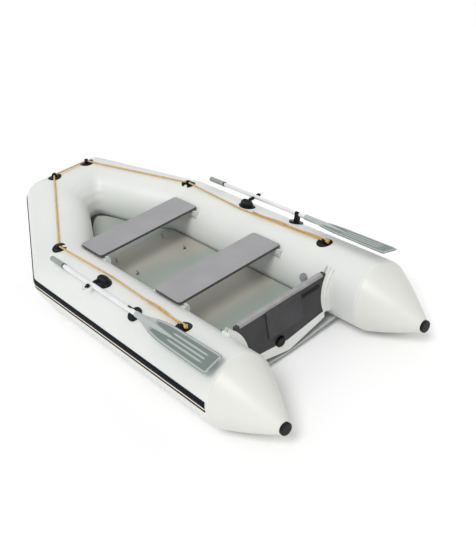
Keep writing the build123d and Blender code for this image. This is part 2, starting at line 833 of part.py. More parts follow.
with BuildPart() as pin_ring:
    with Locations(Plane(origin=(0, ring_hole_y + ring_radius, oar_height), z_dir=(1, 0, 0))):
        Torus(ring_radius, ring_wire)
save_pair(pin_ring, "pin_ring")

# Oars: tube, grip, collar and a tilted blade with a socket
fit_gap = 0.1
oar_end = Plane(origin=(-blade_root - 40, oar_offset, oar_height), z_dir=(1, 0, 0))
with BuildPart() as oar_shaft:
    with BuildSketch(oar_end):
        Circle(oar_radius)
        Circle(oar_radius - oar_wall, mode=Mode.SUBTRACT)
    extrude(amount=blade_root + 40 + oar_fore - 8)
    with BuildSketch(Plane.XZ.offset(-oar_offset - 2 * oar_radius)):
        with Locations((0, oar_height)):
            Circle(pin_radius + pin_clearance)
    extrude(amount=4 * oar_radius, mode=Mode.SUBTRACT)
save_pair(oar_shaft, "oar_shaft")

grip_back = Plane(origin=(oar_fore - grip_length, oar_offset, oar_height), z_dir=(1, 0, 0))
with BuildPart() as oar_grip:
    with BuildSketch(grip_back):
        Circle(grip_radius)
    extrude(amount=grip_length)
    fillet(oar_grip.edges().group_by(Axis.X)[-1], 6)
    with BuildSketch(grip_back):
        Circle(oar_radius + fit_gap)
    extrude(amount=grip_length - 7, mode=Mode.SUBTRACT)
save_pair(oar_grip, "oar_grip")

with BuildPart() as oar_collar:
    with BuildSketch(grip_back.offset(-1 - collar_width)):
        Circle(grip_radius + 1)
        Circle(oar_radius + fit_gap, mode=Mode.SUBTRACT)
    extrude(amount=collar_width)
save_pair(oar_collar, "oar_collar")

tilt = math.radians(blade_tilt)
blade_plane = Plane(
    origin=(0, oar_offset, oar_height),
    x_dir=(-1, 0, 0),
    z_dir=(0, math.sin(tilt), math.cos(tilt)),
)
socket_radius = oar_radius + 4
socket_end = blade_root + 50
blade_half = blade_width / 2
with BuildPart() as oar_blade:
    with BuildSketch(blade_plane.offset(-blade_thickness / 2)):
        with BuildLine():
            edge = Polyline(
                (blade_root - 70, 14),
                (blade_root + 40, blade_half - 21),
                (blade_root + 160, blade_half - 6),
                (oar_aft, blade_half),
                (oar_aft, -blade_half),
                (blade_root + 160, 6 - blade_half),
                (blade_root + 40, 21 - blade_half),
                (blade_root - 70, -14),
                close=True,
            )
        make_face()
        fillet(vertices().group_by(Axis.X)[-1], 22)
    extrude(amount=blade_thickness)
    socket = Plane(origin=(-blade_neck, oar_offset, oar_height), z_dir=(-1, 0, 0))
    with BuildSketch(socket):
        Circle(socket_radius)
    extrude(amount=socket_end - blade_neck)
    with BuildSketch(socket.offset(socket_end - blade_neck)):
        Circle(socket_radius)
    with BuildSketch(socket.offset(socket_end - blade_neck + 160)):
        Circle(5)
    loft()
    with BuildSketch(socket):
        Circle(oar_radius + fit_gap)
    extrude(amount=blade_root + 41 - blade_neck, mode=Mode.SUBTRACT)
save_pair(oar_blade, "oar_blade")

# Clips that hold the stowed oars
clip_y = tube_y + 90
clip_angle = math.asin((clip_y - tube_y) / tube_radius)
clip_normal = Vector(0, math.sin(clip_angle), math.cos(clip_angle))
clip_foot = Vector(-clip_from_rowlock, tube_y, tube_radius) + clip_normal * tube_radius
cradle_inner = oar_radius + 0.5
cradle_outer = cradle_inner + 4.5
with BuildPart() as oar_clip:
    with BuildSketch(Plane(origin=clip_foot, z_dir=clip_normal).offset(-14)):
        Circle(clip_pad_radius)
    extrude(amount=20)
    add(glue_line, mode=Mode.SUBTRACT)
    cradle_plane = Plane(origin=(-clip_from_rowlock, 0, 0), x_dir=(0, 1, 0), z_dir=(1, 0, 0))
    with BuildSketch(cradle_plane.offset(-clip_length / 2)):
        with Locations((oar_offset, oar_height)):
            Circle(cradle_outer)
            Polygon((0, 0), (4, -40), (40, -40), (40, 40), (-4, 40), align=None, mode=Mode.SUBTRACT)
        Polygon(
            (clip_y - 12, clip_foot.Z - 2),
            (clip_y + 16, clip_foot.Z - 8),
            (oar_offset + 1, oar_height - cradle_outer + 1),
            (oar_offset - cradle_outer + 1, oar_height),
            align=None,
        )
        with Locations((oar_offset, oar_height)):
            Circle(cradle_inner, mode=Mode.SUBTRACT)
    extrude(amount=clip_length)
    add(glue_line, mode=Mode.SUBTRACT)
with BuildPart() as oar_clips:
    add(oar_clip.part)
    mirror(oar_clip.part, about=Plane.XZ)
save(oar_clips, "oar_clips")

# Lashing eyes standing on the deck
with BuildPart() as lashing_eyes:
    for x in (lashing_eye_x - lashing_eye_spacing / 2, lashing_eye_x + lashing_eye_spacing / 2):
        for y in (-lashing_eye_offset, lashing_eye_offset):
            with BuildSketch(Plane.XY.offset(deck_top)):
                with Locations((x, y)):
                    Circle(11)
            extrude(amount=3)
            with BuildSketch(Plane.XZ.offset(-y - 2.5)):
                with Locations((x, deck_top + 3 + 16)):
                    Circle(8)
                    Rectangle(7, 19, align=(Align.CENTER, Align.MAX))
                    Circle(4.5, mode=Mode.SUBTRACT)
            extrude(amount=5)
save(lashing_eyes, "lashing_eyes")
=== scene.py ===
import bpy
import numpy as np
from mathutils import Matrix, Vector


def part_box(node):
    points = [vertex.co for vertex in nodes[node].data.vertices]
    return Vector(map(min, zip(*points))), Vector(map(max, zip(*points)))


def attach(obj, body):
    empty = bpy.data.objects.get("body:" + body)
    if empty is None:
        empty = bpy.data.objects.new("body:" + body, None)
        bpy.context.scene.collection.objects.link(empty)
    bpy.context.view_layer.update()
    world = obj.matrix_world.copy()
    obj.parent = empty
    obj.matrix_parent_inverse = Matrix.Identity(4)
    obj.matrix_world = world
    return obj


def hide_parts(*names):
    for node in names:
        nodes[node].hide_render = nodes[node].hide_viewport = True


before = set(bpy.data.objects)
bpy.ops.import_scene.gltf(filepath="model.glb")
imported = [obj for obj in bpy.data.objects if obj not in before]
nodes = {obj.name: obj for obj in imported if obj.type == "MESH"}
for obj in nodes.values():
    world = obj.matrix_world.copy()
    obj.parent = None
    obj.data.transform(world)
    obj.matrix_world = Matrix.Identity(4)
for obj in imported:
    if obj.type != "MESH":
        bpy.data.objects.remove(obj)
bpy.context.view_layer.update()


def boxOf(node):
    # Lowest and highest corner of a CAD node, as arrays in metres.
    low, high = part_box(node)
    return np.array(low), np.array(high)


def unit(v):
    # Each vector divided by its own length.
    return v / np.linalg.norm(v, axis=-1, keepdims=True)


def mirrored(points):
    # The same points on the other side of the boat.
    return points * np.array([1.0, -1.0, 1.0])


def onSide(points, side):
    return points if side == "port" else mirrored(points)


def gridUv(rows, cols):
    # Column and row numbers as plain fractions of the grid.
    u, v = np.meshgrid(np.linspace(0, 1, cols), np.linspace(0, 1, rows))
    return np.stack([u, v], axis=-1)


def makePiece(name, grids, sharpAngle=40):
    # Every grid of points, rows by columns, becomes one ring of quads after another. The last
    # column joins the first, and one face closes each end. The signed volume, the sum of every
    # corner dotted with its face's area vector, says whether the faces have to be turned round.
    corners, faces, uvs, start = [], [], [], 0
    for grid in grids:
        points, uv = grid if isinstance(grid, tuple) else (grid, None)
        rows, cols = points.shape[:2]
        if uv is None:
            uv = gridUv(rows, cols + 1)
        index = np.arange(rows * cols).reshape(rows, cols)
        side = np.roll(index, -1, axis=1)
        quads = np.stack([index[:-1], side[:-1], side[1:], index[1:]], axis=-1).reshape(-1, 4)
        quadUv = np.stack([uv[:-1, :-1], uv[:-1, 1:], uv[1:, 1:], uv[1:, :-1]], axis=2).reshape(-1, 4, 2)
        flat = points.reshape(-1, 3)
        centred = flat - flat.mean(0)
        p, q, r, s = (centred[quads[:, k]] for k in range(4))
        volume = (p * np.cross(q, r)).sum() + (p * np.cross(r, s)).sum()
        for ring, way in ((index[0][::-1], 1), (index[-1], 1)):
            a, b, c = centred[ring[0]], centred[ring[1:-1]], centred[ring[2:]]
            volume += (np.cross(b, c) @ a).sum() * way
        caps = [index[0][::-1], index[-1]]
        capUv = [uv[0, :-1][::-1], uv[-1, :-1]]
        if volume < 0:
            quads, quadUv = quads[:, ::-1], quadUv[:, ::-1]
            caps, capUv = [c[::-1] for c in caps], [c[::-1] for c in capUv]
        corners.append(flat)
        faces += (quads + start).tolist() + [(c + start).tolist() for c in caps]
        uvs += [quadUv.reshape(-1, 2)] + capUv
        start += len(flat)
    mesh = bpy.data.meshes.new(name)
    mesh.from_pydata(np.concatenate(corners).tolist(), [], faces)
    layer = mesh.uv_layers.new(name="UVMap")
    layer.data.foreach_set("uv", np.concatenate(uvs).ravel())
    mesh.shade_smooth()
    mesh.set_sharp_from_angle(angle=np.radians(sharpAngle))
    mesh.update()
    piece = bpy.data.objects.new(name, mesh)
    bpy.context.scene.collection.objects.link(piece)
    return piece


def fit(piece, material, slot, body, *replaced):
    # Gives a new piece its finish and its body, and hides the CAD nodes it stands for.
    piece.data.materials.clear()
    piece.data.materials.append(material)
    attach(piece, body)
    if replaced:
        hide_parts(*replaced)
    return piece


# Finishes

def blank(name):
    material = bpy.data.materials.new(name)
    material.use_nodes = True
    tree = material.node_tree
    shader = tree.nodes["Principled BSDF"]
    return material, tree, shader


def addNode(tree, kind, inputs=None, **settings):
    node = tree.nodes.new(kind)
    for key, value in settings.items():
        setattr(node, key, value)
    for key, value in (inputs or {}).items():
        if isinstance(value, bpy.types.NodeSocket):
            tree.links.new(value, node.inputs[key])
        else:
            node.inputs[key].default_value = value
    return node


def ramp(tree, factor, stops, interpolation="LINEAR"):
    # Colours at places from 0 to 1 along the factor.
    node = addNode(tree, "ShaderNodeValToRGB", {"Fac": factor})
    node.color_ramp.interpolation = interpolation
    elements = node.color_ramp.elements
    for k, (place, colour) in enumerate(stops):
        element = elements[k] if k < 2 else elements.new(place)
        element.position = place
        element.color = (*colour, 1)
    return node.outputs["Color"]


def colourBy(tree, shader, factor, stops):
    tree.links.new(ramp(tree, factor, stops), shader.inputs["Base Color"])


def bumpBy(tree, shader, height, strength, depth):
    relief = addNode(tree, "ShaderNodeBump", {"Height": height, "Strength": strength, "Distance": depth})
    tree.links.new(relief.outputs["Normal"], shader.inputs["Normal"])


def mathOf(tree, operation, a, b):
    return addNode(tree, "ShaderNodeMath", {0: a, 1: b}, operation=operation).outputs["Value"]


def objectPlace(tree):
    return addNode(tree, "ShaderNodeTexCoord").outputs["Object"]


def mapAcross(tree):
    # The map's U.
    uv = addNode(tree, "ShaderNodeUVMap", uv_map="UVMap").outputs["UV"]
    return addNode(tree, "ShaderNodeSeparateXYZ", {"Vector": uv}).outputs["X"]


def setSockets(shader, sockets):
    for key, value in sockets.items():
        shader.inputs[key].default_value = value


def srgb(*levels):
    # Screen levels from 0 to 255 turned into light: levels over 255, to the power 2.2.
    return tuple((level / 255) ** 2.2 for level in levels)


def makeFinish(name, colour, shade, roughness, patch=6, grain=900, bump=0.1, bumpDepth=0.0004,
               stretch=(1, 1, 1), roughSpread=0.08, **sockets):
    # Colour drifts between two tones over a broad noise, roughness over a finer one, and a
    # fine grain bumps the surface. Stretch draws the grain out along an axis.
    material, tree, shader = blank(name)
    where = objectPlace(tree)
    broad = addNode(tree, "ShaderNodeTexNoise", {"Vector": where, "Scale": patch, "Detail": 5.0})
    colourBy(tree, shader, broad.outputs["Fac"], [(0.3, shade), (0.7, colour)])
    drawn = addNode(tree, "ShaderNodeMapping", {"Vector": where, "Scale": stretch}).outputs["Vector"]
    fine = addNode(tree, "ShaderNodeTexNoise", {"Vector": drawn, "Scale": grain, "Detail": 2.0})
    middle = addNode(tree, "ShaderNodeTexNoise", {"Vector": drawn, "Scale": patch * 7, "Detail": 3.0})
    rough = addNode(tree, "ShaderNodeMapRange", {"Value": middle.outputs["Fac"],
                    "To Min": roughness - roughSpread, "To Max": roughness + roughSpread})
    tree.links.new(rough.outputs["Result"], shader.inputs["Roughness"])
    bumpBy(tree, shader, fine.outputs["Fac"], bump, bumpDepth)
    setSockets(shader, sockets)
    return material


def makeWeave(name, colour, shade, roughness, threads=700, bumpDepth=0.0002, **sockets):
    # Coated cloth: two wave patterns at right angles multiply into the raised threads, under a
    # broad drift between two tones.
    material, tree, shader = blank(name)
    where = objectPlace(tree)
    broad = addNode(tree, "ShaderNodeTexNoise",
                    {"Vector": where, "Scale": 2.2, "Detail": 4.0, "Roughness": 0.45})
    colourBy(tree, shader, broad.outputs["Fac"], [(0.32, shade), (0.68, colour)])
    warp = addNode(tree, "ShaderNodeTexWave", {"Vector": where, "Scale": threads, "Distortion": 0.6},
                   bands_direction="DIAGONAL")
    weft = addNode(tree, "ShaderNodeTexWave", {"Vector": where, "Scale": threads, "Distortion": 0.6},
                   bands_direction="X")
    cross = mathOf(tree, "MULTIPLY", warp.outputs["Fac"], weft.outputs["Fac"])
    bumpBy(tree, shader, cross, 0.06, bumpDepth)
    soft = addNode(tree, "ShaderNodeTexNoise", {"Vector": where, "Scale": 9.0, "Detail": 3.0})
    rough = addNode(tree, "ShaderNodeMapRange", {"Value": soft.outputs["Fac"],
                    "To Min": roughness - 0.06, "To Max": roughness + 0.06})
    tree.links.new(rough.outputs["Result"], shader.inputs["Roughness"])
    setSockets(shader, sockets)
    return material


def makeStrakeFinish(name, bands, roughness):
    # Coloured bands lie side by side across the strip: the colour follows the map's U, which
    # is 0 at the strip's lower edge and 1 at its upper edge.
    material, tree, shader = blank(name)
    banded = ramp(tree, mapAcross(tree), bands, "CONSTANT")
    where = objectPlace(tree)
    scuff = addNode(tree, "ShaderNodeTexNoise", {"Vector": where, "Scale": 60.0, "Detail": 6.0})
    worn = addNode(tree, "ShaderNodeMapRange", {"Value": scuff.outputs["Fac"], "From Min": 0.55,
                   "From Max": 0.8, "To Min": 0.0, "To Max": 0.05})
    mixed = addNode(tree, "ShaderNodeMix", {"Factor": worn.outputs["Result"], "A": banded,
                    "B": (0.25, 0.27, 0.3, 1)}, data_type="RGBA")
    tree.links.new(mixed.outputs["Result"], shader.inputs["Base Color"])
    shader.inputs["Roughness"].default_value = roughness
    shader.inputs["Specular IOR Level"].default_value = 0.08
    bumpBy(tree, shader, scuff.outputs["Fac"], 0.15, 0.0003)
    return material


def makeRopeFinish(name, light, dark, fibres):
    # Yarn lines run at a slant over each strand: a wave of the map's U plus its V. The same wave,
    # times a broad noise, sets the colour: the dark tone in the grooves between yarns is painted
    # shade and the light tone on their crowns is painted highlight.
    material, tree, shader = blank(name)
    uv = addNode(tree, "ShaderNodeUVMap", uv_map="UVMap").outputs["UV"]
    turned = addNode(tree, "ShaderNodeMapping", {"Vector": uv, "Scale": fibres}).outputs["Vector"]
    yarn = addNode(tree, "ShaderNodeTexWave", {"Vector": turned, "Scale": 1.0, "Distortion": 1.5},
                   bands_direction="DIAGONAL")
    where = objectPlace(tree)
    patch = addNode(tree, "ShaderNodeTexNoise", {"Vector": where, "Scale": 25.0, "Detail": 4.0})
    both = mathOf(tree, "MULTIPLY", yarn.outputs["Fac"], patch.outputs["Fac"])
    # Painted shade in the grooves between yarns and painted highlight on their crowns.
    colourBy(tree, shader, both, [(0.05, dark), (0.5, light)])
    bumpBy(tree, shader, yarn.outputs["Fac"], 0.4, 0.0004)
    shader.inputs["Roughness"].default_value = 0.75
    return material


satinCoat = {"Coat Weight": 0.15, "Coat Roughness": 0.3}
dull = {"Specular IOR Level": 0.25}
tubeFabric = makeWeave("tubeFabric", srgb(222, 224, 221), srgb(215, 218, 214), 0.38, **satinCoat)
coneFabric = makeWeave("coneFabric", srgb(218, 219, 212), srgb(210, 211, 203), 0.4, **satinCoat)
baffleFabric = makeWeave("baffleFabric", srgb(205, 208, 206), srgb(195, 198, 196), 0.5)
bottomFabric = makeWeave("bottomFabric", srgb(206, 209, 207), srgb(194, 198, 196), 0.5)
flapFabric = makeWeave("flapFabric", srgb(226, 227, 223), srgb(214, 216, 211), 0.5)
blackRubber = makeFinish("blackRubber", srgb(18, 23, 26), srgb(11, 14, 17), 0.42, patch=30, bumpDepth=0.0002,
                         **dull)
paleRubber = makeFinish("paleRubber", srgb(226, 228, 224), srgb(214, 216, 211), 0.45, patch=14)
holderRubber = makeFinish("holderRubber", srgb(212, 214, 211), srgb(200, 203, 200), 0.5, patch=14)
seatCoat = makeFinish("seatCoat", srgb(155, 154, 156), srgb(147, 146, 149), 0.5, patch=5, grain=1400,
                      bump=0.35)
seatEdge = makeFinish("seatEdge", srgb(86, 84, 84), srgb(60, 58, 58), 0.6, patch=60, stretch=(1, 1, 12))
transomCoat = makeFinish("transomCoat", srgb(66, 66, 68), srgb(56, 56, 58), 0.48, patch=7, grain=1200,
                         bump=0.3, **dull)
padPlastic = makeFinish("padPlastic", srgb(70, 70, 72), srgb(60, 60, 62), 0.42, patch=12, grain=1500,
                        bump=0.25, **dull)
greyEdging = makeFinish("greyEdging", srgb(160, 158, 158), srgb(140, 138, 138), 0.42, patch=20)
blackPlastic = makeFinish("blackPlastic", srgb(16, 16, 18), srgb(9, 9, 11), 0.38, patch=40,
                          **dull)
valvePlastic = makeFinish("valvePlastic", srgb(150, 154, 156), srgb(134, 138, 141), 0.4, patch=40)
oarPlastic = makeFinish("oarPlastic", srgb(150, 158, 155), srgb(138, 146, 143), 0.4, patch=9, grain=700,
                        bump=0.1)
collarPlastic = makeFinish("collarPlastic", srgb(70, 76, 82), srgb(52, 57, 62), 0.4, patch=40)
oarAluminium = makeFinish("oarAluminium", srgb(240, 241, 243), srgb(228, 230, 233), 0.32, patch=9,
                          stretch=(0.05, 1, 1), grain=1500, Metallic=0.3)
railAluminium = makeFinish("railAluminium", srgb(200, 202, 205), srgb(180, 182, 186), 0.35, patch=20,
                           stretch=(0.05, 1, 1), Metallic=0.9)
ringSteel = makeFinish("ringSteel", srgb(180, 182, 186), srgb(140, 143, 148), 0.28, patch=60, Metallic=1.0)
strakeRubber = makeStrakeFinish("strakeRubber", [
    (0.0, srgb(170, 174, 174)), (0.03, srgb(12, 18, 30)), (0.25, srgb(196, 160, 100)),
    (0.31, srgb(232, 230, 220)), (0.38, srgb(10, 16, 28)), (0.95, srgb(40, 48, 60))], 0.55)
# The light and dark tones are the rope's painted highlight and painted shade.
ropeFibre = makeRopeFinish("ropeFibre", srgb(232, 200, 132), srgb(182, 142, 82), (3.0, 900.0, 1.0))


def makeDeckFinish(name, values):
    # A satin deck: a soft band wave across the boat, drifted by noise, mixes a warm tone into
    # a cool one, over a fine moulded grain. The bands are painted reflections, not the deck's own colour.
    material, tree, shader = blank(name)
    where = objectPlace(tree)
    # Painted reflection: the band wave lays the warm and cool tones across the deck as reflected light.
    band = addNode(tree, "ShaderNodeTexWave", {"Vector": where, "Scale": values["reflectionBandScale"],
                   "Distortion": 3.0, "Detail": 2.0, "Detail Scale": 1.2}, bands_direction="X")
    tone = ramp(tree, band.outputs["Fac"], [(0.2, values["cool"]), (0.85, values["warm"])], "EASE")
    # Painted shade: a dark line mixed in where the map's U is small, in the crevice where the deck meets the
    # tubes.
    paintedCreviceShade = ramp(tree, mapAcross(tree), [(0.0, (1, 1, 1)), (0.10, (1, 1, 1)), (0.14, (0, 0, 0))])
    shaded = addNode(tree, "ShaderNodeMix", {"Factor": paintedCreviceShade, "A": tone, "B": (*values["edge"], 1)},
                     data_type="RGBA")
    tree.links.new(shaded.outputs["Result"], shader.inputs["Base Color"])
    grain = addNode(tree, "ShaderNodeTexNoise", {"Vector": where, "Scale": 600.0, "Detail": 3.0})
    bumpBy(tree, shader, grain.outputs["Fac"], 0.12, 0.0003)
    shader.inputs["Roughness"].default_value = values["roughness"]
    shader.inputs["Coat Weight"].default_value = 0.3
    shader.inputs["Coat Roughness"].default_value = 0.25
    return material


def makeBladeFinish(name, sunk, proud, roughness):
    # Moulded plastic, darker in its sunk panels and paler on its rim and ribs, as painted shade
    # and painted highlight on the relief: the colour follows the map's U, drifted by a little noise.
    material, tree, shader = blank(name)
    height = mapAcross(tree)
    where = objectPlace(tree)
    drift = addNode(tree, "ShaderNodeTexNoise", {"Vector": where, "Scale": 14.0, "Detail": 4.0})
    both = mathOf(tree, "ADD", height, mathOf(tree, "MULTIPLY", drift.outputs["Fac"], 0.16))
    # Painted shade in the sunk panels and painted highlight on the rim, ribs and ridge.
    colourBy(tree, shader, both, [(0.1, sunk), (0.75, proud)])
    fine = addNode(tree, "ShaderNodeTexNoise", {"Vector": where, "Scale": 700.0, "Detail": 2.0})
    bumpBy(tree, shader, fine.outputs["Fac"], 0.1, 0.0003)
    shader.inputs["Roughness"].default_value = roughness
    return material


# The darker colour is painted shade for the sunk panels, the paler one painted highlight for the raised
# relief.
bladePlastic = makeBladeFinish("bladePlastic", srgb(112, 124, 120), srgb(172, 180, 178), 0.4)
# The edge colour is the dark line of painted shade in the crevice where the deck meets the tubes.
deckFinish = makeDeckFinish("deckFinish", {
    # cool and warm are the two tones of the painted reflection bands.
    "cool": srgb(152, 162, 154), "warm": srgb(172, 169, 157), "edge": srgb(52, 60, 58),
    "reflectionBandScale": 0.4, "roughness": 0.34,
})
print("finishes made")

# The hull's lines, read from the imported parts

sideLow, sideHigh = boxOf("side_tube_port")
frontLow, frontHigh = boxOf("bow_tube_front")
coneLow = boxOf("stern_cone_port")[0]
tubeRadius = (sideHigh[2] - sideLow[2]) / 2
tubeY = (sideHigh[1] + sideLow[1]) / 2
hull = {
    "bowHalfWidth": 0.175,
    "bendFromFront": 0.680,
    "coneTip": (coneLow[0], tubeY - 0.007, 0.158),
    "coneTipRadius": 0.036,
    "coneBulge": 0.009,
    "aroundSteps": 180,
    "tapeHalfWidth": 0.013,
    "tapeProud": 0.0008,
    "softCorners": (0.022, 0.04, 0.045),  # how far the seams at the stern, bend and bow are rounded
    "puckerDepth": 0.0008,
    "puckerCount": 24,
    "puckerReach": 0.05,
}
frontX = frontHigh[0] - tubeRadius
frontZ = frontLow[2] + tubeRadius
seam = np.array([sideLow[0], tubeY, tubeRadius])
bend = np.array([frontX - hull["bendFromFront"], tubeY, tubeRadius])
knuckle = np.array([frontX, hull["bowHalfWidth"], frontZ])
sideWay = np.array([1.0, 0.0, 0.0])
taperWay = unit(knuckle - bend)
frontWay = np.array([0.0, -1.0, 0.0])
bendNormal = unit(sideWay + taperWay)
knuckleNormal = unit(taperWay + frontWay)


def tubeCorners(angle, radius, sternX=None):
    # For each angle round the tube, measured up from straight outboard, one line runs along
    # the tube. It starts on the stern seam's circle and turns where it meets each mitre plane,
    # so a corner is the last corner plus the run's way times the distance to the next plane.
    ring = radius[..., None] * np.stack([np.zeros_like(angle), np.cos(angle), np.sin(angle)], axis=-1)
    first = seam + ring
    if sternX is not None:
        first[..., 0] = sternX
    atBend = first + sideWay * (((bend - first) @ bendNormal) / (sideWay @ bendNormal))[..., None]
    toKnuckle = ((knuckle - atBend) @ knuckleNormal) / (taperWay @ knuckleNormal)
    atKnuckle = atBend + taperWay * toKnuckle[..., None]
    tip = np.array(hull["coneTip"]) + ring * (hull["coneTipRadius"] / radius)[..., None]
    half = [tip, first, atBend, atKnuckle]
    return half + [mirrored(p) for p in reversed(half)]


def runOfLines(corners, k, soft, steps=26, cornerSteps=7):
    # Rows along one run, from corner k to the next. In the middle they lie on straight lines.
    # At a rounded corner they follow half of the quadratic curve whose control points are the
    # corner and the points a set distance before and after it, so two runs meet on the seam.
    a, b = corners[k], corners[k + 1]
    way = unit(b - a)
    rows = []
    startSoft, endSoft = soft[k], soft[k + 1]
    if startSoft:
        before = a - unit(a - corners[k - 1]) * startSoft
        after = a + way * startSoft
        s = np.linspace(0.5, 1, cornerSteps)[:, None, None]
        rows.append((1 - s) ** 2 * before + 2 * s * (1 - s) * a + s**2 * after)
    else:
        rows.append(a[None])
    if endSoft:
        before = b - way * endSoft
        after = b + unit(corners[k + 2] - b) * endSoft
        s = np.linspace(0, 0.5, cornerSteps)[:, None, None]
        last = (1 - s) ** 2 * before + 2 * s * (1 - s) * b + s**2 * after
    else:
        last = b[None]
    t = np.linspace(0, 1, steps)[1:-1, None, None]
    t = t * t * (3 - 2 * t)
    rows.append(rows[0][-1] * (1 - t) + last[0] * t)
    rows.append(last)
    return np.concatenate(rows)


def alongRun(grid):
    # Distance of every row from the run's first and last row, along each line.
    step = np.linalg.norm(np.diff(grid, axis=0), axis=-1)
    gone = np.concatenate([np.zeros((1, grid.shape[1])), np.cumsum(step, axis=0)])
    return gone, gone[-1] - gone


def outwardFrom(grid, axisStart, axisEnd):
    # Unit vectors from the run's axis line to each point, at right angles to the axis.
    way = unit(axisEnd - axisStart)
    arm = grid - axisStart
    return unit(arm - (arm @ way)[..., None] * way)


theta = np.linspace(0, 2 * np.pi, hull["aroundSteps"], endpoint=False)
lines = tubeCorners(theta, np.full_like(theta, tubeRadius))
soft = [0, *hull["softCorners"], *reversed(hull["softCorners"]), 0]
tipPoint = np.array(hull["coneTip"])
axes = [tipPoint, seam, bend, knuckle]
axes = axes + [mirrored(p) for p in reversed(axes)]
runNames = ["stern_cone_port", "side_tube_port", "bow_tube_port", "bow_tube_front",
            "bow_tube_starboard", "side_tube_starboard", "stern_cone_starboard"]
inboard = np.clip(-np.cos(theta), 0, 1) ** 0.5  # 1 on the inside of the boat, 0 outside
for k, node in enumerate(runNames):
    grid = runOfLines(lines, k, soft)
    near, far = alongRun(grid)
    out = outwardFrom(grid, axes[k], axes[k + 1])
    lift = np.zeros(grid.shape[:2])
    for distance, index in ((near, k), (far, k + 1)):
        if soft[index]:  # glued tape over the seam, and small gathers where the cloth turns
            edge = 1 / (1 + np.exp((distance - hull["tapeHalfWidth"]) / 0.0012))
            lift += hull["tapeProud"] * edge
            if 1 < index < 6:
                wave = np.sin(hull["puckerCount"] * theta + 2 * np.sin(3 * theta))
                fade = np.exp(-((distance / hull["puckerReach"]) ** 2))
                lift += hull["puckerDepth"] * wave * inboard * fade
    if "cone" in node:
        share = near / (near + far)
        lift += hull["coneBulge"] * np.sin(np.pi * share) * (1 - 0.3 * share)
    grid = grid + out * lift[..., None]
    finish = coneFabric if "cone" in node else tubeFabric
    fit(makePiece(node + "_skin", [grid]), finish, "tube_fabric", "hull", node)
print("tube skins made")

# Rubbing strake

strake = {
    "width": 0.064,
    "centreAngle": 8,
    "gap": 0.0003,
    "sternFromSeam": 0.015,
    # share of the width from the lower edge, and how proud the strip stands there
    "section": [(0.0, 0.0010), (0.02, 0.0026), (0.05, 0.0030), (0.22, 0.0030), (0.24, 0.0022),
                (0.26, 0.0036), (0.30, 0.0040), (0.36, 0.0036), (0.39, 0.0022), (0.41, 0.0032),
                (0.50, 0.0040), (0.68, 0.0042), (0.86, 0.0038), (0.95, 0.0030), (0.985, 0.0022),
                (1.0, 0.0010)],
}
section = np.array(strake["section"])
halfArc = strake["width"] / 2 / tubeRadius
middleAngle = np.radians(strake["centreAngle"])
outerShare = np.interp(np.linspace(0, 1, 46), np.linspace(0, 1, len(section)), section[:, 0])
outerProud = np.interp(outerShare, section[:, 0], section[:, 1])
innerShare = np.linspace(1, 0, 12)
share = np.concatenate([outerShare, innerShare])
proud = np.concatenate([outerProud, np.zeros(12)])
strakeAngle = middleAngle - halfArc + 2 * halfArc * share
strakeLines = tubeCorners(strakeAngle, tubeRadius + strake["gap"] + proud, seam[0] + strake["sternFromSeam"])
strakeSoft = [0, 0, *hull["softCorners"][1:], *reversed(hull["softCorners"][1:]), 0, 0]
for runs, node in (((1, 2), "strake_port"), ((3,), "strake_front"), ((4, 5), "strake_starboard")):
    grid = [runOfLines(strakeLines, k, strakeSoft) for k in runs]
    grid = np.concatenate([grid[0]] + [g[1:] for g in grid[1:]])
    uv = np.zeros((grid.shape[0], grid.shape[1] + 1, 2))
    uv[..., 0] = np.append(share, 0.0)
    uv[..., 1] = np.linspace(0, 1, grid.shape[0])[:, None]
    fit(makePiece(node + "_strip", [(grid, uv)], 30), strakeRubber, "strake_rubber", "hull", node)
print("strake made")


# Deck, bottom and keel

def innerSide(x, z, gap=0.0006):
    # Half the room between the tubes at a place and height: the side tube's circle, and the
    # bow tube's cylinder solved for y, whichever is nearer the middle.
    r = tubeRadius + gap
    side = tubeY - np.sqrt(np.maximum(r**2 - (z - tubeRadius) ** 2, 0))
    qx, qz = x - bend[0], z - bend[2]
    flat = qx * taperWay[0] + qz * taperWay[2]
    a = 1 - taperWay[1] ** 2
    b = -2 * flat * taperWay[1]
    c = qx**2 + qz**2 - flat**2 - r**2
    taper = bend[1] + (-b - np.sqrt(np.maximum(b * b - 4 * a * c, 0))) / (2 * a)
    return np.minimum(side, taper)


deckLow = boxOf("air_deck")[0]
deck = {
    "top": 0.180,
    "thickness": 0.070,
    "flatEnd": bend[0] - 0.040,
    "liftLength": 0.5505,
    "lift": 0.110,
    "edgeDrop": 0.010,
    "edgeReach": 0.009,
    "cornerSoft": 0.045,
    "mapReach": 0.1,
    "alongSteps": 120,
    "acrossSteps": 90,
}
liftRadius = (deck["liftLength"] ** 2 + deck["lift"] ** 2) / (2 * deck["lift"])


def deckHeight(x, below):
    # Level as far as the flat end, then a circle's arc that rises: the radius less the root of
    # the radius squared less the distance squared. The underside's arc has the same centre.
    r = liftRadius + below
    rise = np.clip(x - deck["flatEnd"], 0, None)
    return deck["top"] - below + r - np.sqrt(r**2 - rise**2)


def deckFront(below):
    # Where that surface meets the front tube, found by halving the distance.
    low, high = deck["flatEnd"], frontX
    for step in range(40):
        x = (low + high) / 2
        inside = (x - frontX) ** 2 + (deckHeight(x, below) - frontZ) ** 2 < (tubeRadius + 0.0006) ** 2
        low, high = (low, x) if inside else (x, high)
    return low


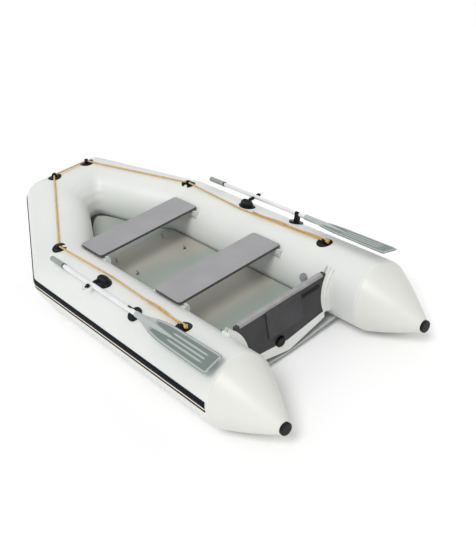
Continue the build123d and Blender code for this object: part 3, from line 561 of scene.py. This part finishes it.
def deckRow(below, cols, towards):
    # One surface of the deck: heights along the boat, and a width shared out evenly across it.
    # Near the tubes the surface rolls over, by a drop that dies away with the distance.
    u = np.linspace(0, 1, deck["alongSteps"])
    x = deckLow[0] + (deckFront(below) - deckLow[0]) * (1 - (1 - u) ** 1.25)
    z = deckHeight(x, below)
    half = innerSide(x, z)
    v = np.sin(np.linspace(-1, 1, cols) * np.pi / 2) * towards
    xx, zz = np.repeat(x[:, None], cols, 1), np.repeat(z[:, None], cols, 1)
    yy = half[:, None] * v
    away = half[:, None] - np.abs(yy)
    ends = np.minimum(np.abs(x - x[0]), np.abs(x[-1] - x))[:, None]
    roll = deck["edgeDrop"] * (np.exp(-away / deck["edgeReach"]) + np.exp(-ends / deck["edgeReach"]))
    return np.stack([xx, yy, zz - roll * np.sign(0.035 - below)], axis=-1)


top = deckRow(0.0, deck["acrossSteps"], 1)
under = deckRow(deck["thickness"], deck["acrossSteps"] // 2, -1)
sideSteps = 8


def deckSide(fromEdge, toEdge):
    # The deck's edge between its two surfaces, laid against the tube.
    s = np.linspace(0, 1, sideSteps + 2)[1:-1, None]
    line = fromEdge[:, None] * (1 - s) + toEdge[:, None] * s
    half = innerSide(line[..., 0], line[..., 2])
    line[..., 1] = np.sign(line[..., 1]) * half
    return line


deckGrid = np.concatenate([top, deckSide(top[:, -1], under[:, 0]), under,
                           deckSide(under[:, -1], top[:, 0])], axis=1)
# The map's U is the distance in from the tubes over the map's reach, from which the deck's
# finish paints its dark line of shade along the tubes. The two distances, to the side and to the
# front, join as a soft minimum so that the painted shade line turns the bow corners.
toSide = innerSide(deckGrid[..., 0], deckGrid[..., 2]) - np.abs(deckGrid[..., 1])
toFront = deckFront(0.0) - deckGrid[..., 0]
corner = deck["cornerSoft"]
nearSide, nearFront = (np.exp(-np.clip(away, 0, 1) / corner) for away in (toSide, toFront))
edgeDistance = -corner * np.log(nearSide + nearFront)
deckUv = np.zeros((deckGrid.shape[0], deckGrid.shape[1] + 1, 2))
deckUv[:, :-1, 0] = np.clip(edgeDistance / deck["mapReach"], 0, 1)
deckUv[:, -1, 0] = deckUv[:, 0, 0]
fit(makePiece("air_deck_skin", [(deckGrid, deckUv)], 50), deckFinish, "deck_fabric", "hull", "air_deck")

skinLow, skinHigh = boxOf("bottom_skin")
bottom = {
    "stations": (skinLow[0], bend[0], bend[0] + 0.56 * 0.680, skinHigh[0]),
    "keel": (0.026, 0.026, 0.086, 0.190),
    "edge": (0.052, 0.052, 0.110, 0.200),
    "half": (0.4345, 0.4345, 0.3002, 0.200),
    "wall": 0.0015,
    "steps": 90,
}
x = np.linspace(skinLow[0], skinHigh[0], bottom["steps"])
keel = np.interp(x, bottom["stations"], bottom["keel"])
edge = np.interp(x, bottom["stations"], bottom["edge"])
half = np.interp(x, bottom["stations"], bottom["half"])
reach = half.copy()
for step in range(30):  # the width settles where the sloping cloth meets the tube
    height = keel + (edge - keel) * reach / half
    reach = np.minimum(half, innerSide(x, height, 0.0004))
v = np.linspace(-1, 1, 41)
yy = reach[:, None] * v
zz = keel[:, None] + (edge - keel)[:, None] * np.abs(yy) / half[:, None]
zz = zz + 0.004 * np.exp(-((yy / 0.03) ** 2))  # the cloth bends softly over the keel
outer = np.stack([np.repeat(x[:, None], 41, 1), yy, zz], axis=-1)
inner = outer[:, ::-1] + np.array([0, 0, bottom["wall"]])
fit(makePiece("bottom_skin_cloth", [np.concatenate([outer, inner], axis=1)], 60),
    bottomFabric, "bottom_fabric", "hull", "bottom_skin")


def roundTube(path, radius, steps=32, lobes=None):
    # A circle carried along a path: each ring's centre is a path point, and its two axes are
    # the path's side and up vectors.
    path = np.asarray(path, float)
    way = unit(np.gradient(path, axis=0))
    up = np.array([0.0, 0.0, 1.0])
    side = unit(np.cross(up, way))
    lift = np.cross(way, side)
    turn = np.linspace(0, 2 * np.pi, steps, endpoint=False)
    r = np.broadcast_to(np.asarray(radius, float), (len(path),))[:, None] if lobes is None else lobes
    ring = np.cos(turn)[:, None] * side[:, None] + np.sin(turn)[:, None] * lift[:, None]
    return path[:, None] + r[..., None] * ring


keelLow, keelHigh = boxOf("keel_tube")
keelRadius = (keelHigh[2] - keelLow[2]) / 2
t = np.linspace(0, 1, 40)
keelPath = np.stack([keelLow[0] + (keelHigh[0] - keelLow[0]) * t, t * 0,
                     t * 0 + keelLow[2] + keelRadius], axis=-1)
endRound = np.minimum(np.minimum(t, 1 - t) * (keelHigh[0] - keelLow[0]) / keelRadius, 1)
keelSkin = roundTube(keelPath, keelRadius * np.sqrt(1 - (1 - endRound) ** 4))
fit(makePiece("keel_tube_skin", [keelSkin[1:-1]]), tubeFabric, "tube_fabric", "hull", "keel_tube")
print("deck and bottom made")


# Seats

def roundedOutline(centre, halfX, halfY, radius, inset, steps=12):
    # A rectangle with round corners, drawn in by the inset: four quarter circles, one after
    # another, each about its own corner's centre.
    turn = np.linspace(0, np.pi / 2, steps)
    quarters = []
    for k, (sx, sy) in enumerate(((1, 1), (-1, 1), (-1, -1), (1, -1))):
        angle = turn + k * np.pi / 2
        r = radius - inset
        quarters.append(np.stack([centre[0] + sx * (halfX - radius) + r * np.cos(angle),
                                  centre[1] + sy * (halfY - radius) + r * np.sin(angle)], axis=-1))
    return np.concatenate(quarters)


seat = {"corner": 0.024, "topRound": 0.0035, "bottomRound": 0.002}
for name in ("fore", "aft"):
    low, high = boxOf(f"seat_board_{name}")
    centre, halves = (low + high) / 2, (high - low) / 2
    rows = []
    for rounding, level, sign in ((seat["bottomRound"], low[2], 1), (seat["topRound"], high[2], -1)):
        for a in np.linspace(0, np.pi / 2, 6)[:: int(sign)]:
            inset, z = rounding * (1 - np.sin(a)), level + sign * rounding * (1 - np.cos(a))
            flat = roundedOutline(centre, halves[0], halves[1], seat["corner"], inset)
            rows.append(np.column_stack([flat, np.full(len(flat), z)]))
    board = makePiece(f"seat_board_{name}_finished", [np.stack(rows)], 35)
    fit(board, seatCoat, "seat_wood", f"seat_{name}", f"seat_board_{name}")
    board.data.materials.append(seatEdge)
    normals = np.zeros(len(board.data.polygons) * 3)
    board.data.polygons.foreach_get("normal", normals)
    sideFaces = np.abs(normals.reshape(-1, 3)[:, 2]) < 0.75
    board.data.polygons.foreach_set("material_index", sideFaces.astype(np.int32))
print("seats made")


# Grab line

line = {
    "radius": 0.006,
    "strandDip": 0.24,
    "pitch": 0.036,
    "ringStep": 0.0021,
    "roundSteps": 24,
    "nearGuide": 0.05,
}
linePoints = [(-0.775, 0.5345, 0.4429), (0.0, 0.508, 0.4389), (0.6055, 0.5345, 0.4473),
              (1.2995, 0.137, 0.6023)]


def besideCorner(a, b, c, distance):
    # The corner with one more point on each of its straight runs, a set distance away.
    a, b, c = (np.array(p) for p in (a, b, c))
    return [b + unit(a - b) * distance, b, b + unit(c - b) * distance]


farBow = (linePoints[3][0], -linePoints[3][1], linePoints[3][2])
portRoute = [np.array(linePoints[0])]
portRoute += besideCorner(linePoints[0], linePoints[1], linePoints[2], line["nearGuide"])
portRoute += besideCorner(linePoints[1], linePoints[2], linePoints[3], line["nearGuide"])
portRoute += besideCorner(linePoints[2], linePoints[3], farBow, line["nearGuide"])
lineRoute = portRoute + [mirrored(p) for p in reversed(portRoute)]


def splinePoints(name, route, resolution=40):
    # A NURBS line of order 3 through its end points, read back as plain points.
    curve = bpy.data.curves.new(name, "CURVE")
    curve.dimensions = "3D"
    spline = curve.splines.new("NURBS")
    spline.points.add(len(route) - 1)
    spline.points.foreach_set("co", np.column_stack([np.array(route), np.ones(len(route))]).ravel())
    spline.order_u = 3
    spline.use_endpoint_u = True
    spline.resolution_u = resolution
    holder = bpy.data.objects.new(name, curve)
    bpy.context.scene.collection.objects.link(holder)
    mesh = bpy.data.meshes.new_from_object(holder)
    points = np.zeros(len(mesh.vertices) * 3)
    mesh.vertices.foreach_get("co", points)
    bpy.data.objects.remove(holder)
    return points.reshape(-1, 3)


def evenly(points, step):
    # The same line with its points a set step apart, found along its running length.
    gone = np.concatenate([[0], np.cumsum(np.linalg.norm(np.diff(points, axis=0), axis=1))])
    keep = np.concatenate([[True], np.diff(gone) > 1e-7])
    gone, points = gone[keep], points[keep]
    place = np.linspace(0, gone[-1], max(int(gone[-1] / step), 8))
    return np.stack([np.interp(place, gone, points[:, k]) for k in range(3)], axis=-1), place


def laidRope(points, radius, pitch, step, roundSteps):
    # Three strands laid round each other: the radius is largest on each strand's crown and
    # dips between them, as the absolute cosine of one and a half times the angle, and the
    # whole section turns once in every pitch.
    path, gone = evenly(points, step)
    turn = np.linspace(0, 2 * np.pi, roundSteps, endpoint=False)
    crown = np.abs(np.cos(1.5 * (turn[None] - 2 * np.pi * gone[:, None] / pitch))) ** 0.8
    rings = radius * (1 - line["strandDip"] * (1 - crown))
    grid = roundTube(path, radius, roundSteps, rings)
    uv = gridUv(len(path), roundSteps + 1)
    uv[..., 1] = gone[:, None]
    return grid, uv


lineCentre = splinePoints("lineRoute", lineRoute)
lineLength = np.linalg.norm(np.diff(lineCentre, axis=0), axis=1).sum()
grabLine = makePiece("grab_line_rope", [laidRope(lineCentre, line["radius"], line["pitch"], line["ringStep"],
                                                 line["roundSteps"])], 180)
fit(grabLine, ropeFibre, "line_fibre", "hull", "grab_line")


def knotPath(centre, size, turns=160):
    # A trefoil: sine of t plus twice the sine of 2t, cosine of t less twice the cosine of 2t,
    # and the sine of 3t for its depth.
    t = np.linspace(0, 2 * np.pi, turns)
    shape = np.stack([-np.sin(3 * t) * 1.3, np.sin(t) + 2 * np.sin(2 * t),
                      np.cos(t) - 2 * np.cos(2 * t)], axis=-1)
    return np.array(centre) + shape * size


knot = {"size": 0.0033, "centre": (-0.7840, 0.5345, 0.4472), "ropeRadius": 0.0054}
knots = []
for side in ("port", "starboard"):
    path = onSide(knotPath(knot["centre"], knot["size"]), side)
    knots.append(laidRope(path, knot["ropeRadius"], 0.02, 0.0012, 20))
fit(makePiece("line_knots_tied", knots, 180), ropeFibre, "line_fibre", "hull", "line_knots")

tail = {"starts": -0.757, "ends": {"port": -0.40, "starboard": -0.13}, "turnEvery": 0.30, "radius": 0.0055,
        "sideSwing": 0.0042, "reach": 0.0122, "pitch": 0.034, "ringStep": 0.0018}
for side in ("port", "starboard"):
    # The loose end laid back over the line: it swings from side to side as a sine, and rides at
    # the height that keeps it a set reach from the line's centre.
    along = np.linspace(tail["starts"] - 0.02, tail["ends"][side], 260)
    order = np.argsort(lineCentre[: len(lineCentre) // 2, 0])
    base = lineCentre[: len(lineCentre) // 2][order]
    y = np.interp(along, base[:, 0], base[:, 1])
    z = np.interp(along, base[:, 0], base[:, 2])
    turn = 2 * np.pi * (along - tail["starts"]) / tail["turnEvery"]
    swing = tail["sideSwing"] * np.sin(turn)
    wound = np.stack([along, y + swing, z + np.sqrt(tail["reach"] ** 2 - swing**2)], axis=-1)
    rope = laidRope(onSide(wound, side), tail["radius"], tail["pitch"], tail["ringStep"], 18)
    piece = makePiece(f"line_tail_{side}", [rope], 180)
    fit(piece, ropeFibre, "line_fibre", "hull")
print("grab line made,", round(lineLength, 3), "m")


# Guides and rowlocks on the tubes

def tubeTop(x, y):
    # Height of the tube's upper surface under a plan position: the side, bow or front
    # cylinder, chosen by which side of the mitre planes the place lies.
    y = np.abs(y)
    side = tubeRadius + np.sqrt(np.maximum(tubeRadius**2 - (y - tubeY) ** 2, 0))
    qx, qy = x - bend[0], y - bend[1]
    flat = qx * taperWay[0] + qy * taperWay[1]
    a = 1 - taperWay[2] ** 2
    b = -2 * flat * taperWay[2]
    c = qx**2 + qy**2 - flat**2 - tubeRadius**2
    taper = bend[2] + (-b + np.sqrt(np.maximum(b * b - 4 * a * c, 0))) / (2 * a)
    front = frontZ + np.sqrt(np.maximum(tubeRadius**2 - (x - frontX) ** 2, 0))
    pastBend = qx * bendNormal[0] + qy * bendNormal[1] > 0
    pastKnuckle = (x - knuckle[0]) * knuckleNormal[0] + (y - knuckle[1]) * knuckleNormal[1] > 0
    return np.where(pastKnuckle, front, np.where(pastBend, taper, side))


def gluedPad(centre, halfX, halfY, heights, turn=0.0, rings=26, steps=56):
    # A pad glued on the tube: rings that grow from the middle, each point at the tube's height
    # plus the pad's own height there. The heights are pairs of share of the radius and height,
    # and an absolute level may be given for the middle. The underside follows the tube.
    shares, rise, level = (np.array(v) for v in zip(*heights))
    r = np.linspace(0.0, 1.0, rings)[1:]
    angle = np.linspace(0, 2 * np.pi, steps, endpoint=False)
    lx, ly = halfX * np.outer(r, np.cos(angle)), halfY * np.outer(r, np.sin(angle))
    x = centre[0] + lx * np.cos(turn) - ly * np.sin(turn)
    y = centre[1] + lx * np.sin(turn) + ly * np.cos(turn)
    base = tubeTop(x, y)
    mix = np.interp(r, shares, level)[:, None]
    risen = np.interp(r, shares, rise)[:, None]
    z = (base + risen) * (1 - mix) + mix * (centre[2] + risen)
    upper = np.stack([x, y, z], axis=-1)
    under = np.stack([x, y, base + 0.0003], axis=-1)[::-1]
    return np.concatenate([upper, under])


def sweptLoop(path, sideways, halfWidth, halfThick, steps=20):
    # A rounded bar carried along an arch: each section is a superellipse, the fourth root of
    # cosine and sine, across the arch's width and its thickness.
    way = unit(np.gradient(path, axis=0))
    out = np.cross(way, sideways)
    turn = np.linspace(0, 2 * np.pi, steps, endpoint=False)
    c, s = np.cos(turn), np.sin(turn)
    a = np.sign(c) * np.abs(c) ** 0.55 * halfWidth
    b = np.sign(s) * np.abs(s) ** 0.55 * halfThick
    return path[:, None] + a[None, :, None] * sideways + b[None, :, None] * out[:, None]


guide = {"radius": 0.050, "loopRadius": 0.0112, "loopHalfWidth": 0.0125, "loopHalfThick": 0.0032,
         "heights": [(0.0, 0.0050, 0), (0.36, 0.0050, 0), (0.46, 0.0036, 0), (0.82, 0.0032, 0),
                     (0.88, 0.0026, 0), (0.97, 0.0022, 0), (1.0, 0.0008, 0)]}
taperAngle = np.arctan2(taperWay[1], taperWay[0])
guidePlaces = [((-0.757, 0.5345, 0.4429), 0.0), ((0.6055, 0.5345, 0.4473), taperAngle / 2),
               ((1.2995, 0.137, 0.6023), (taperAngle - np.pi / 2) / 2)]
guideGrids = []
for (px, py, pz), turn in guidePlaces:
    forward = np.array([np.cos(turn), np.sin(turn), 0.0])
    acrossWay = np.array([-np.sin(turn), np.cos(turn), 0.0])
    arch = np.linspace(0, np.pi, 28)
    foot = np.linspace(0.022, 0, 8)[:-1]
    lateral = np.concatenate([np.full(7, 1.0), np.cos(arch), np.full(7, -1.0)]) * guide["loopRadius"]
    upward = np.concatenate([-foot, np.sin(arch) * guide["loopRadius"], -foot[::-1]])
    path = np.array([px, py, pz + 0.0005]) + lateral[:, None] * acrossWay
    path[:, 2] += upward
    loop = sweptLoop(path, forward, guide["loopHalfWidth"], guide["loopHalfThick"])
    pad = gluedPad((px, py, pz), guide["radius"], guide["radius"], guide["heights"])
    for side in ("port", "starboard"):
        guideGrids += [onSide(pad, side), onSide(loop, side)]
fit(makePiece("line_guides_moulded", guideGrids, 50), blackRubber, "black_rubber", "hull", "line_guides")

rowlock = {"y": 0.570, "padTop": 0.437, "halfX": 0.070, "halfY": 0.042, "blockRadius": 0.036,
           "blockHalf": 0.050, "ribs": 7, "ribDepth": 0.0034, "boss": (0.598, 0.634), "bossRadius": 0.012,
           "oarZ": 0.460, "bottomGap": 0.0005,
           "heights": [(0.0, 0.0, 1), (0.66, 0.0, 1), (0.72, 0.0, 0.85), (0.80, 0.0035, 0.25),
                       (0.86, 0.0035, 0), (0.96, 0.0030, 0), (1.0, 0.0010, 0)]}
for side in ("port", "starboard"):
    pad = gluedPad((0.0, rowlock["y"], rowlock["padTop"]), rowlock["halfX"], rowlock["halfY"],
                   rowlock["heights"])
    fit(makePiece(f"rowlock_pad_{side}_moulded", [onSide(pad, side)], 50), blackRubber, "black_rubber",
        "hull", f"rowlock_pad_{side}")
    # The block is a long dome: across each place stands half an ellipse, its half width the
    # radius times the root of one less the share squared, its height the root of one less the
    # share to the fourth. Both shrink between ribs, by a raised cosine of the distance along.
    share = np.sin(np.linspace(-np.pi / 2, np.pi / 2, 120))
    groove = rowlock["ribDepth"] * (0.5 + 0.5 * np.cos(np.pi * rowlock["ribs"] * (share + 1))) ** 1.4
    wide = np.maximum(rowlock["blockRadius"] - groove, 0) * np.sqrt(1 - share**2)
    high = np.maximum(rowlock["blockRadius"] - groove, 0) * np.sqrt(1 - share**4)
    half = np.linspace(0, np.pi, 33)
    flat = np.linspace(-1, 1, 12)[1:-1]
    acrossBlock = np.concatenate([np.cos(half), flat])
    upBlock = np.concatenate([np.sin(half), np.zeros(10)])
    block = np.stack([np.repeat(share[:, None] * rowlock["blockHalf"], len(upBlock), 1),
                      rowlock["y"] - wide[:, None] * acrossBlock,
                      rowlock["padTop"] + rowlock["bottomGap"] + high[:, None] * upBlock], axis=-1)
    bossPath = np.array([[0, y, rowlock["oarZ"]] for y in np.linspace(*rowlock["boss"], 12)])
    bossRadius = rowlock["bossRadius"] - np.r_[np.zeros(10), 0.0006, 0.002]
    boss = roundTube(bossPath, bossRadius)
    fit(makePiece(f"rowlock_block_{side}_moulded", [onSide(block, side), onSide(boss, side)], 35),
        blackRubber, "black_rubber", f"rowlock_{side}", f"rowlock_block_{side}")
print("guides and rowlocks made")


# Oars

oar = {
    "y": 0.650, "z": 0.460,
    "grip": (0.333, 0.487), "gripRadius": 0.017, "gripRibs": 9, "ribDepth": 0.0011,
    "neck": 0.483, "root": 0.600, "tip": 1.173, "tilt": np.radians(16),
    "socketRadius": 0.018, "plateHalf": 0.003, "cornerRadius": 0.022,
    "outline": [(0.483, 0.018), (0.530, 0.019), (0.600, 0.0345), (0.640, 0.046), (0.700, 0.0545),
                (0.760, 0.061), (0.95, 0.064), (1.173, 0.067)],
    "rimInset": 0.009, "rimHeight": 0.0036, "rimWidth": 0.0045, "ribOffset": 0.024, "ribHeight": 0.0034,
    "ribWidth": 0.0045,
    "dimple": (1.128, 0.0, 0.0065, 0.0028),
}


def gripSurface():
    # A bar turned about the shaft's line: the radius carries shallow grooves, a small shoulder
    # where it starts, and a rounded end.
    start, end = oar["grip"]
    closing = np.sin(np.linspace(0, np.pi / 2, 12)[1:])
    x = np.concatenate([np.linspace(start, end - 0.012, 110), end - 0.012 * (1 - closing)])
    r = np.full_like(x, oar["gripRadius"])
    share = (x - start - 0.018) / (end - start - 0.045)
    groove = np.where((share > 0) & (share < 1), np.sin(np.pi * share * oar["gripRibs"]) ** 8, 0)
    r -= oar["ribDepth"] * groove
    r -= 0.0025 * np.exp(-(((x - start - 0.010) / 0.004) ** 2))
    left = np.clip(x - (end - 0.012), 0, 0.012)
    r = r - 0.012 + np.sqrt(np.maximum(0.012**2 - left**2, 0))
    r = np.maximum(r, 0.004)
    path = np.stack([x, np.full_like(x, oar["y"]), np.full_like(x, oar["z"])], axis=-1)
    return roundTube(path, r, 48)


def bladeSurface():
    # The blade's half thickness over each place: the plate, which thins to nothing at the
    # edge, or the socket's circle and its tapering ridge, whichever is thicker, joined by a
    # smooth maximum. A rim stands inside the edge and two ribs flank the ridge. The width
    # follows the outline and closes over a quarter circle at the tip's corners. The map's U is
    # how proud the relief stands, from 0 in the sunk panels to 1 on the rim, ribs and ridge; the
    # blade's finish turns it into painted shade in the panels and painted highlight on the relief.
    x = np.concatenate([np.linspace(oar["neck"], oar["tip"] - oar["cornerRadius"], 150),
                        oar["tip"] - oar["cornerRadius"] * (1 - np.sin(np.linspace(0, np.pi / 2, 16)[1:]))])
    outline = np.array(oar["outline"])
    width = np.interp(x, outline[:, 0], outline[:, 1])
    width = np.convolve(np.pad(width, 6, mode="edge"), np.ones(13) / 13, "valid")
    width[0] = oar["socketRadius"]
    corner = np.clip(x - (oar["tip"] - oar["cornerRadius"]), 0, None)
    width = width - oar["cornerRadius"] + np.sqrt(np.maximum(oar["cornerRadius"] ** 2 - corner**2, 0))
    v = np.sin(np.linspace(-np.pi / 2, np.pi / 2, 71))
    y = width[:, None] * v
    edge = np.abs(v)[None]
    plate = oar["plateHalf"] * np.sqrt(np.maximum(1 - edge**12, 0)) * np.ones_like(y)
    tipFade = np.sqrt(np.clip((oar["tip"] - x) / 0.006, 0, 1))[:, None]
    ridgeRadius = np.interp(x, [oar["neck"], oar["root"] + 0.05, oar["root"] + 0.21, 1.10],
                            [oar["socketRadius"], oar["socketRadius"], 0.006, 0.0046])[:, None]
    ridge = np.sqrt(np.maximum(ridgeRadius**2 - y**2, 0)) * np.clip((1.12 - x) / 0.03, 0, 1)[:, None]
    body = (plate**6 + ridge**6) ** (1 / 6)
    grown = np.clip((x - 0.62) / 0.05, 0, 1)[:, None]
    inset = (width[:, None] - np.abs(y) - oar["rimInset"]) / oar["rimWidth"]
    rim = oar["rimHeight"] * np.exp(-(inset**2)) * grown
    endInset = ((x - (oar["tip"] - oar["rimInset"])) / oar["rimWidth"])[:, None]
    endRim = oar["rimHeight"] * np.exp(-(endInset**2)) * (inset > 0)
    ribs = oar["ribHeight"] * np.exp(-(((np.abs(y) - oar["ribOffset"]) / oar["ribWidth"]) ** 2)) * (
        np.clip((x - 0.80) / 0.03, 0, 1) * np.clip((1.11 - x) / 0.03, 0, 1))[:, None]
    dx, dy, dr, depth = oar["dimple"]
    hollow = depth * np.exp(-((((x[:, None] - dx) ** 2 + (y - dy) ** 2) / dr**2) ** 2))
    half = (body + np.maximum(rim, endRim) + ribs - hollow) * tipFade
    half = half * np.sqrt(np.maximum(1 - edge**24, 0))
    down = np.array([-1.0, 0, 0])
    inboardWay = np.array([0, -np.cos(oar["tilt"]), np.sin(oar["tilt"])])
    faceWay = np.array([0, np.sin(oar["tilt"]), np.cos(oar["tilt"])])
    base = np.array([0, oar["y"], oar["z"]]) + x[:, None, None] * down + y[..., None] * inboardWay
    front = base + half[..., None] * faceWay
    back = base - half[..., None] * faceWay
    grid = np.concatenate([front, back[:, ::-1][:, 1:-1]], axis=1)
    proud = (np.maximum(rim, endRim) + ribs) / oar["rimHeight"] + (ridge > plate) - hollow / depth
    proud = np.clip(proud, 0, 1)
    proud = np.maximum(proud, 1 - grown)
    proud = np.concatenate([proud, proud[:, ::-1][:, 1:-1]], axis=1)
    uv = gridUv(grid.shape[0], grid.shape[1] + 1)
    uv[:, :-1, 0] = proud
    uv[:, -1, 0] = proud[:, 0]
    return grid, uv


for side in ("port", "starboard"):
    fit(makePiece(f"oar_grip_{side}_moulded", [onSide(gripSurface(), side)], 50), oarPlastic, "oar_plastic",
        f"oar_{side}", f"oar_grip_{side}")
    bladeGrid, bladeUv = bladeSurface()
    fit(makePiece(f"oar_blade_{side}_moulded", [(onSide(bladeGrid, side), bladeUv)], 60), bladePlastic,
        "oar_plastic", f"oar_{side}", f"oar_blade_{side}")
print("oars made")

# Parts carried over from the CAD

carried = {
    "stern_end_caps": blackRubber, "oar_clips": blackRubber, "chamber_baffle": baffleFabric,
    "transom_board": transomCoat, "transom_top_edging": greyEdging, "motor_pad": padPlastic,
    "clamp_plate": padPlastic, "label_plate": blackPlastic, "drain_body": blackPlastic,
    "drain_flap": blackPlastic,
    "seat_rails_fore": railAluminium, "seat_rails_aft": railAluminium, "seat_holders_fore": holderRubber,
    "seat_holders_aft": holderRubber, "deck_valve_body": valvePlastic, "deck_valve_cap": valvePlastic,
    "lashing_eyes": ringSteel, "transom_bottom_flap": flapFabric,
}
for side in ("port", "starboard"):
    carried |= {
        f"transom_holder_{side}": paleRubber, f"valve_body_{side}": valvePlastic,
        f"valve_cap_{side}": valvePlastic, f"valve_poppet_{side}": valvePlastic,
        f"rowlock_pin_{side}": blackPlastic, f"pin_ring_{side}": ringSteel,
        f"oar_shaft_{side}": oarAluminium, f"oar_collar_{side}": collarPlastic,
    }
for name, material in carried.items():
    nodes[name].data.materials.clear()
    nodes[name].data.materials.append(material)
print("carried-over parts finished")

# Floor, light and camera

studio = {
    "floor": srgb(252, 252, 252), "world": 0.68, "sunPower": 1.45, "sunSpread": np.radians(25),
    "fillPower": 14,
    "sunPlace": (-2.6, 4.4, 7.5), "fillPlace": (1.5, -3.5, 3.0),
    "cameraPlace": (-3.848, 2.2761, 2.9202), "yaw": -0.60797, "pitch": -0.56051, "roll": -0.17469,
    "lens": 53.255,
}
floorMesh = bpy.data.meshes.new("floor")
floorMesh.from_pydata([(-40, -40, 0), (40, -40, 0), (40, 40, 0), (-40, 40, 0)], [], [(0, 1, 2, 3)])
floor = bpy.data.objects.new("floor", floorMesh)
bpy.context.scene.collection.objects.link(floor)
floorFinish = makeFinish("floorFinish", studio["floor"], studio["floor"], 0.7, patch=0.5, bump=0.0)
floor.data.materials.append(floorFinish)

world = bpy.data.worlds.new("studio")
bpy.context.scene.world = world
world.use_nodes = True
world.node_tree.nodes["Background"].inputs["Color"].default_value = (1, 1, 1, 1)
world.node_tree.nodes["Background"].inputs["Strength"].default_value = studio["world"]


def addLight(name, kind, place, power, target=(0, 0, 0.2), **settings):
    light = bpy.data.lights.new(name, kind)
    light.energy = power
    for key, value in settings.items():
        setattr(light, key, value)
    lamp = bpy.data.objects.new(name, light)
    lamp.location = place
    lamp.rotation_euler = (Vector(target) - Vector(place)).to_track_quat("-Z", "Y").to_euler()
    bpy.context.scene.collection.objects.link(lamp)


addLight("sunLight", "SUN", studio["sunPlace"], studio["sunPower"], angle=studio["sunSpread"])
addLight("fillLight", "AREA", studio["fillPlace"], studio["fillPower"], size=4.0)

yaw, pitch, roll = studio["yaw"], studio["pitch"], studio["roll"]
forward = np.array([np.cos(yaw) * np.cos(pitch), np.sin(yaw) * np.cos(pitch), np.sin(pitch)])
right = unit(np.cross(forward, [0, 0, 1]))
up = np.cross(right, forward)
turnedRight = right * np.cos(roll) + up * np.sin(roll)
turnedUp = -right * np.sin(roll) + up * np.cos(roll)
camera = bpy.data.cameras.new("camera")
camera.sensor_width = 36
camera.lens = studio["lens"]
camera.clip_end = 200
eye = bpy.data.objects.new("camera", camera)
rotation = Matrix(np.column_stack([turnedRight, turnedUp, -forward]).tolist()).to_4x4()
eye.matrix_world = Matrix.Translation(studio["cameraPlace"]) @ rotation
bpy.context.scene.collection.objects.link(eye)
bpy.context.scene.camera = eye
bpy.context.scene.view_settings.view_transform = "Standard"
print("studio made")
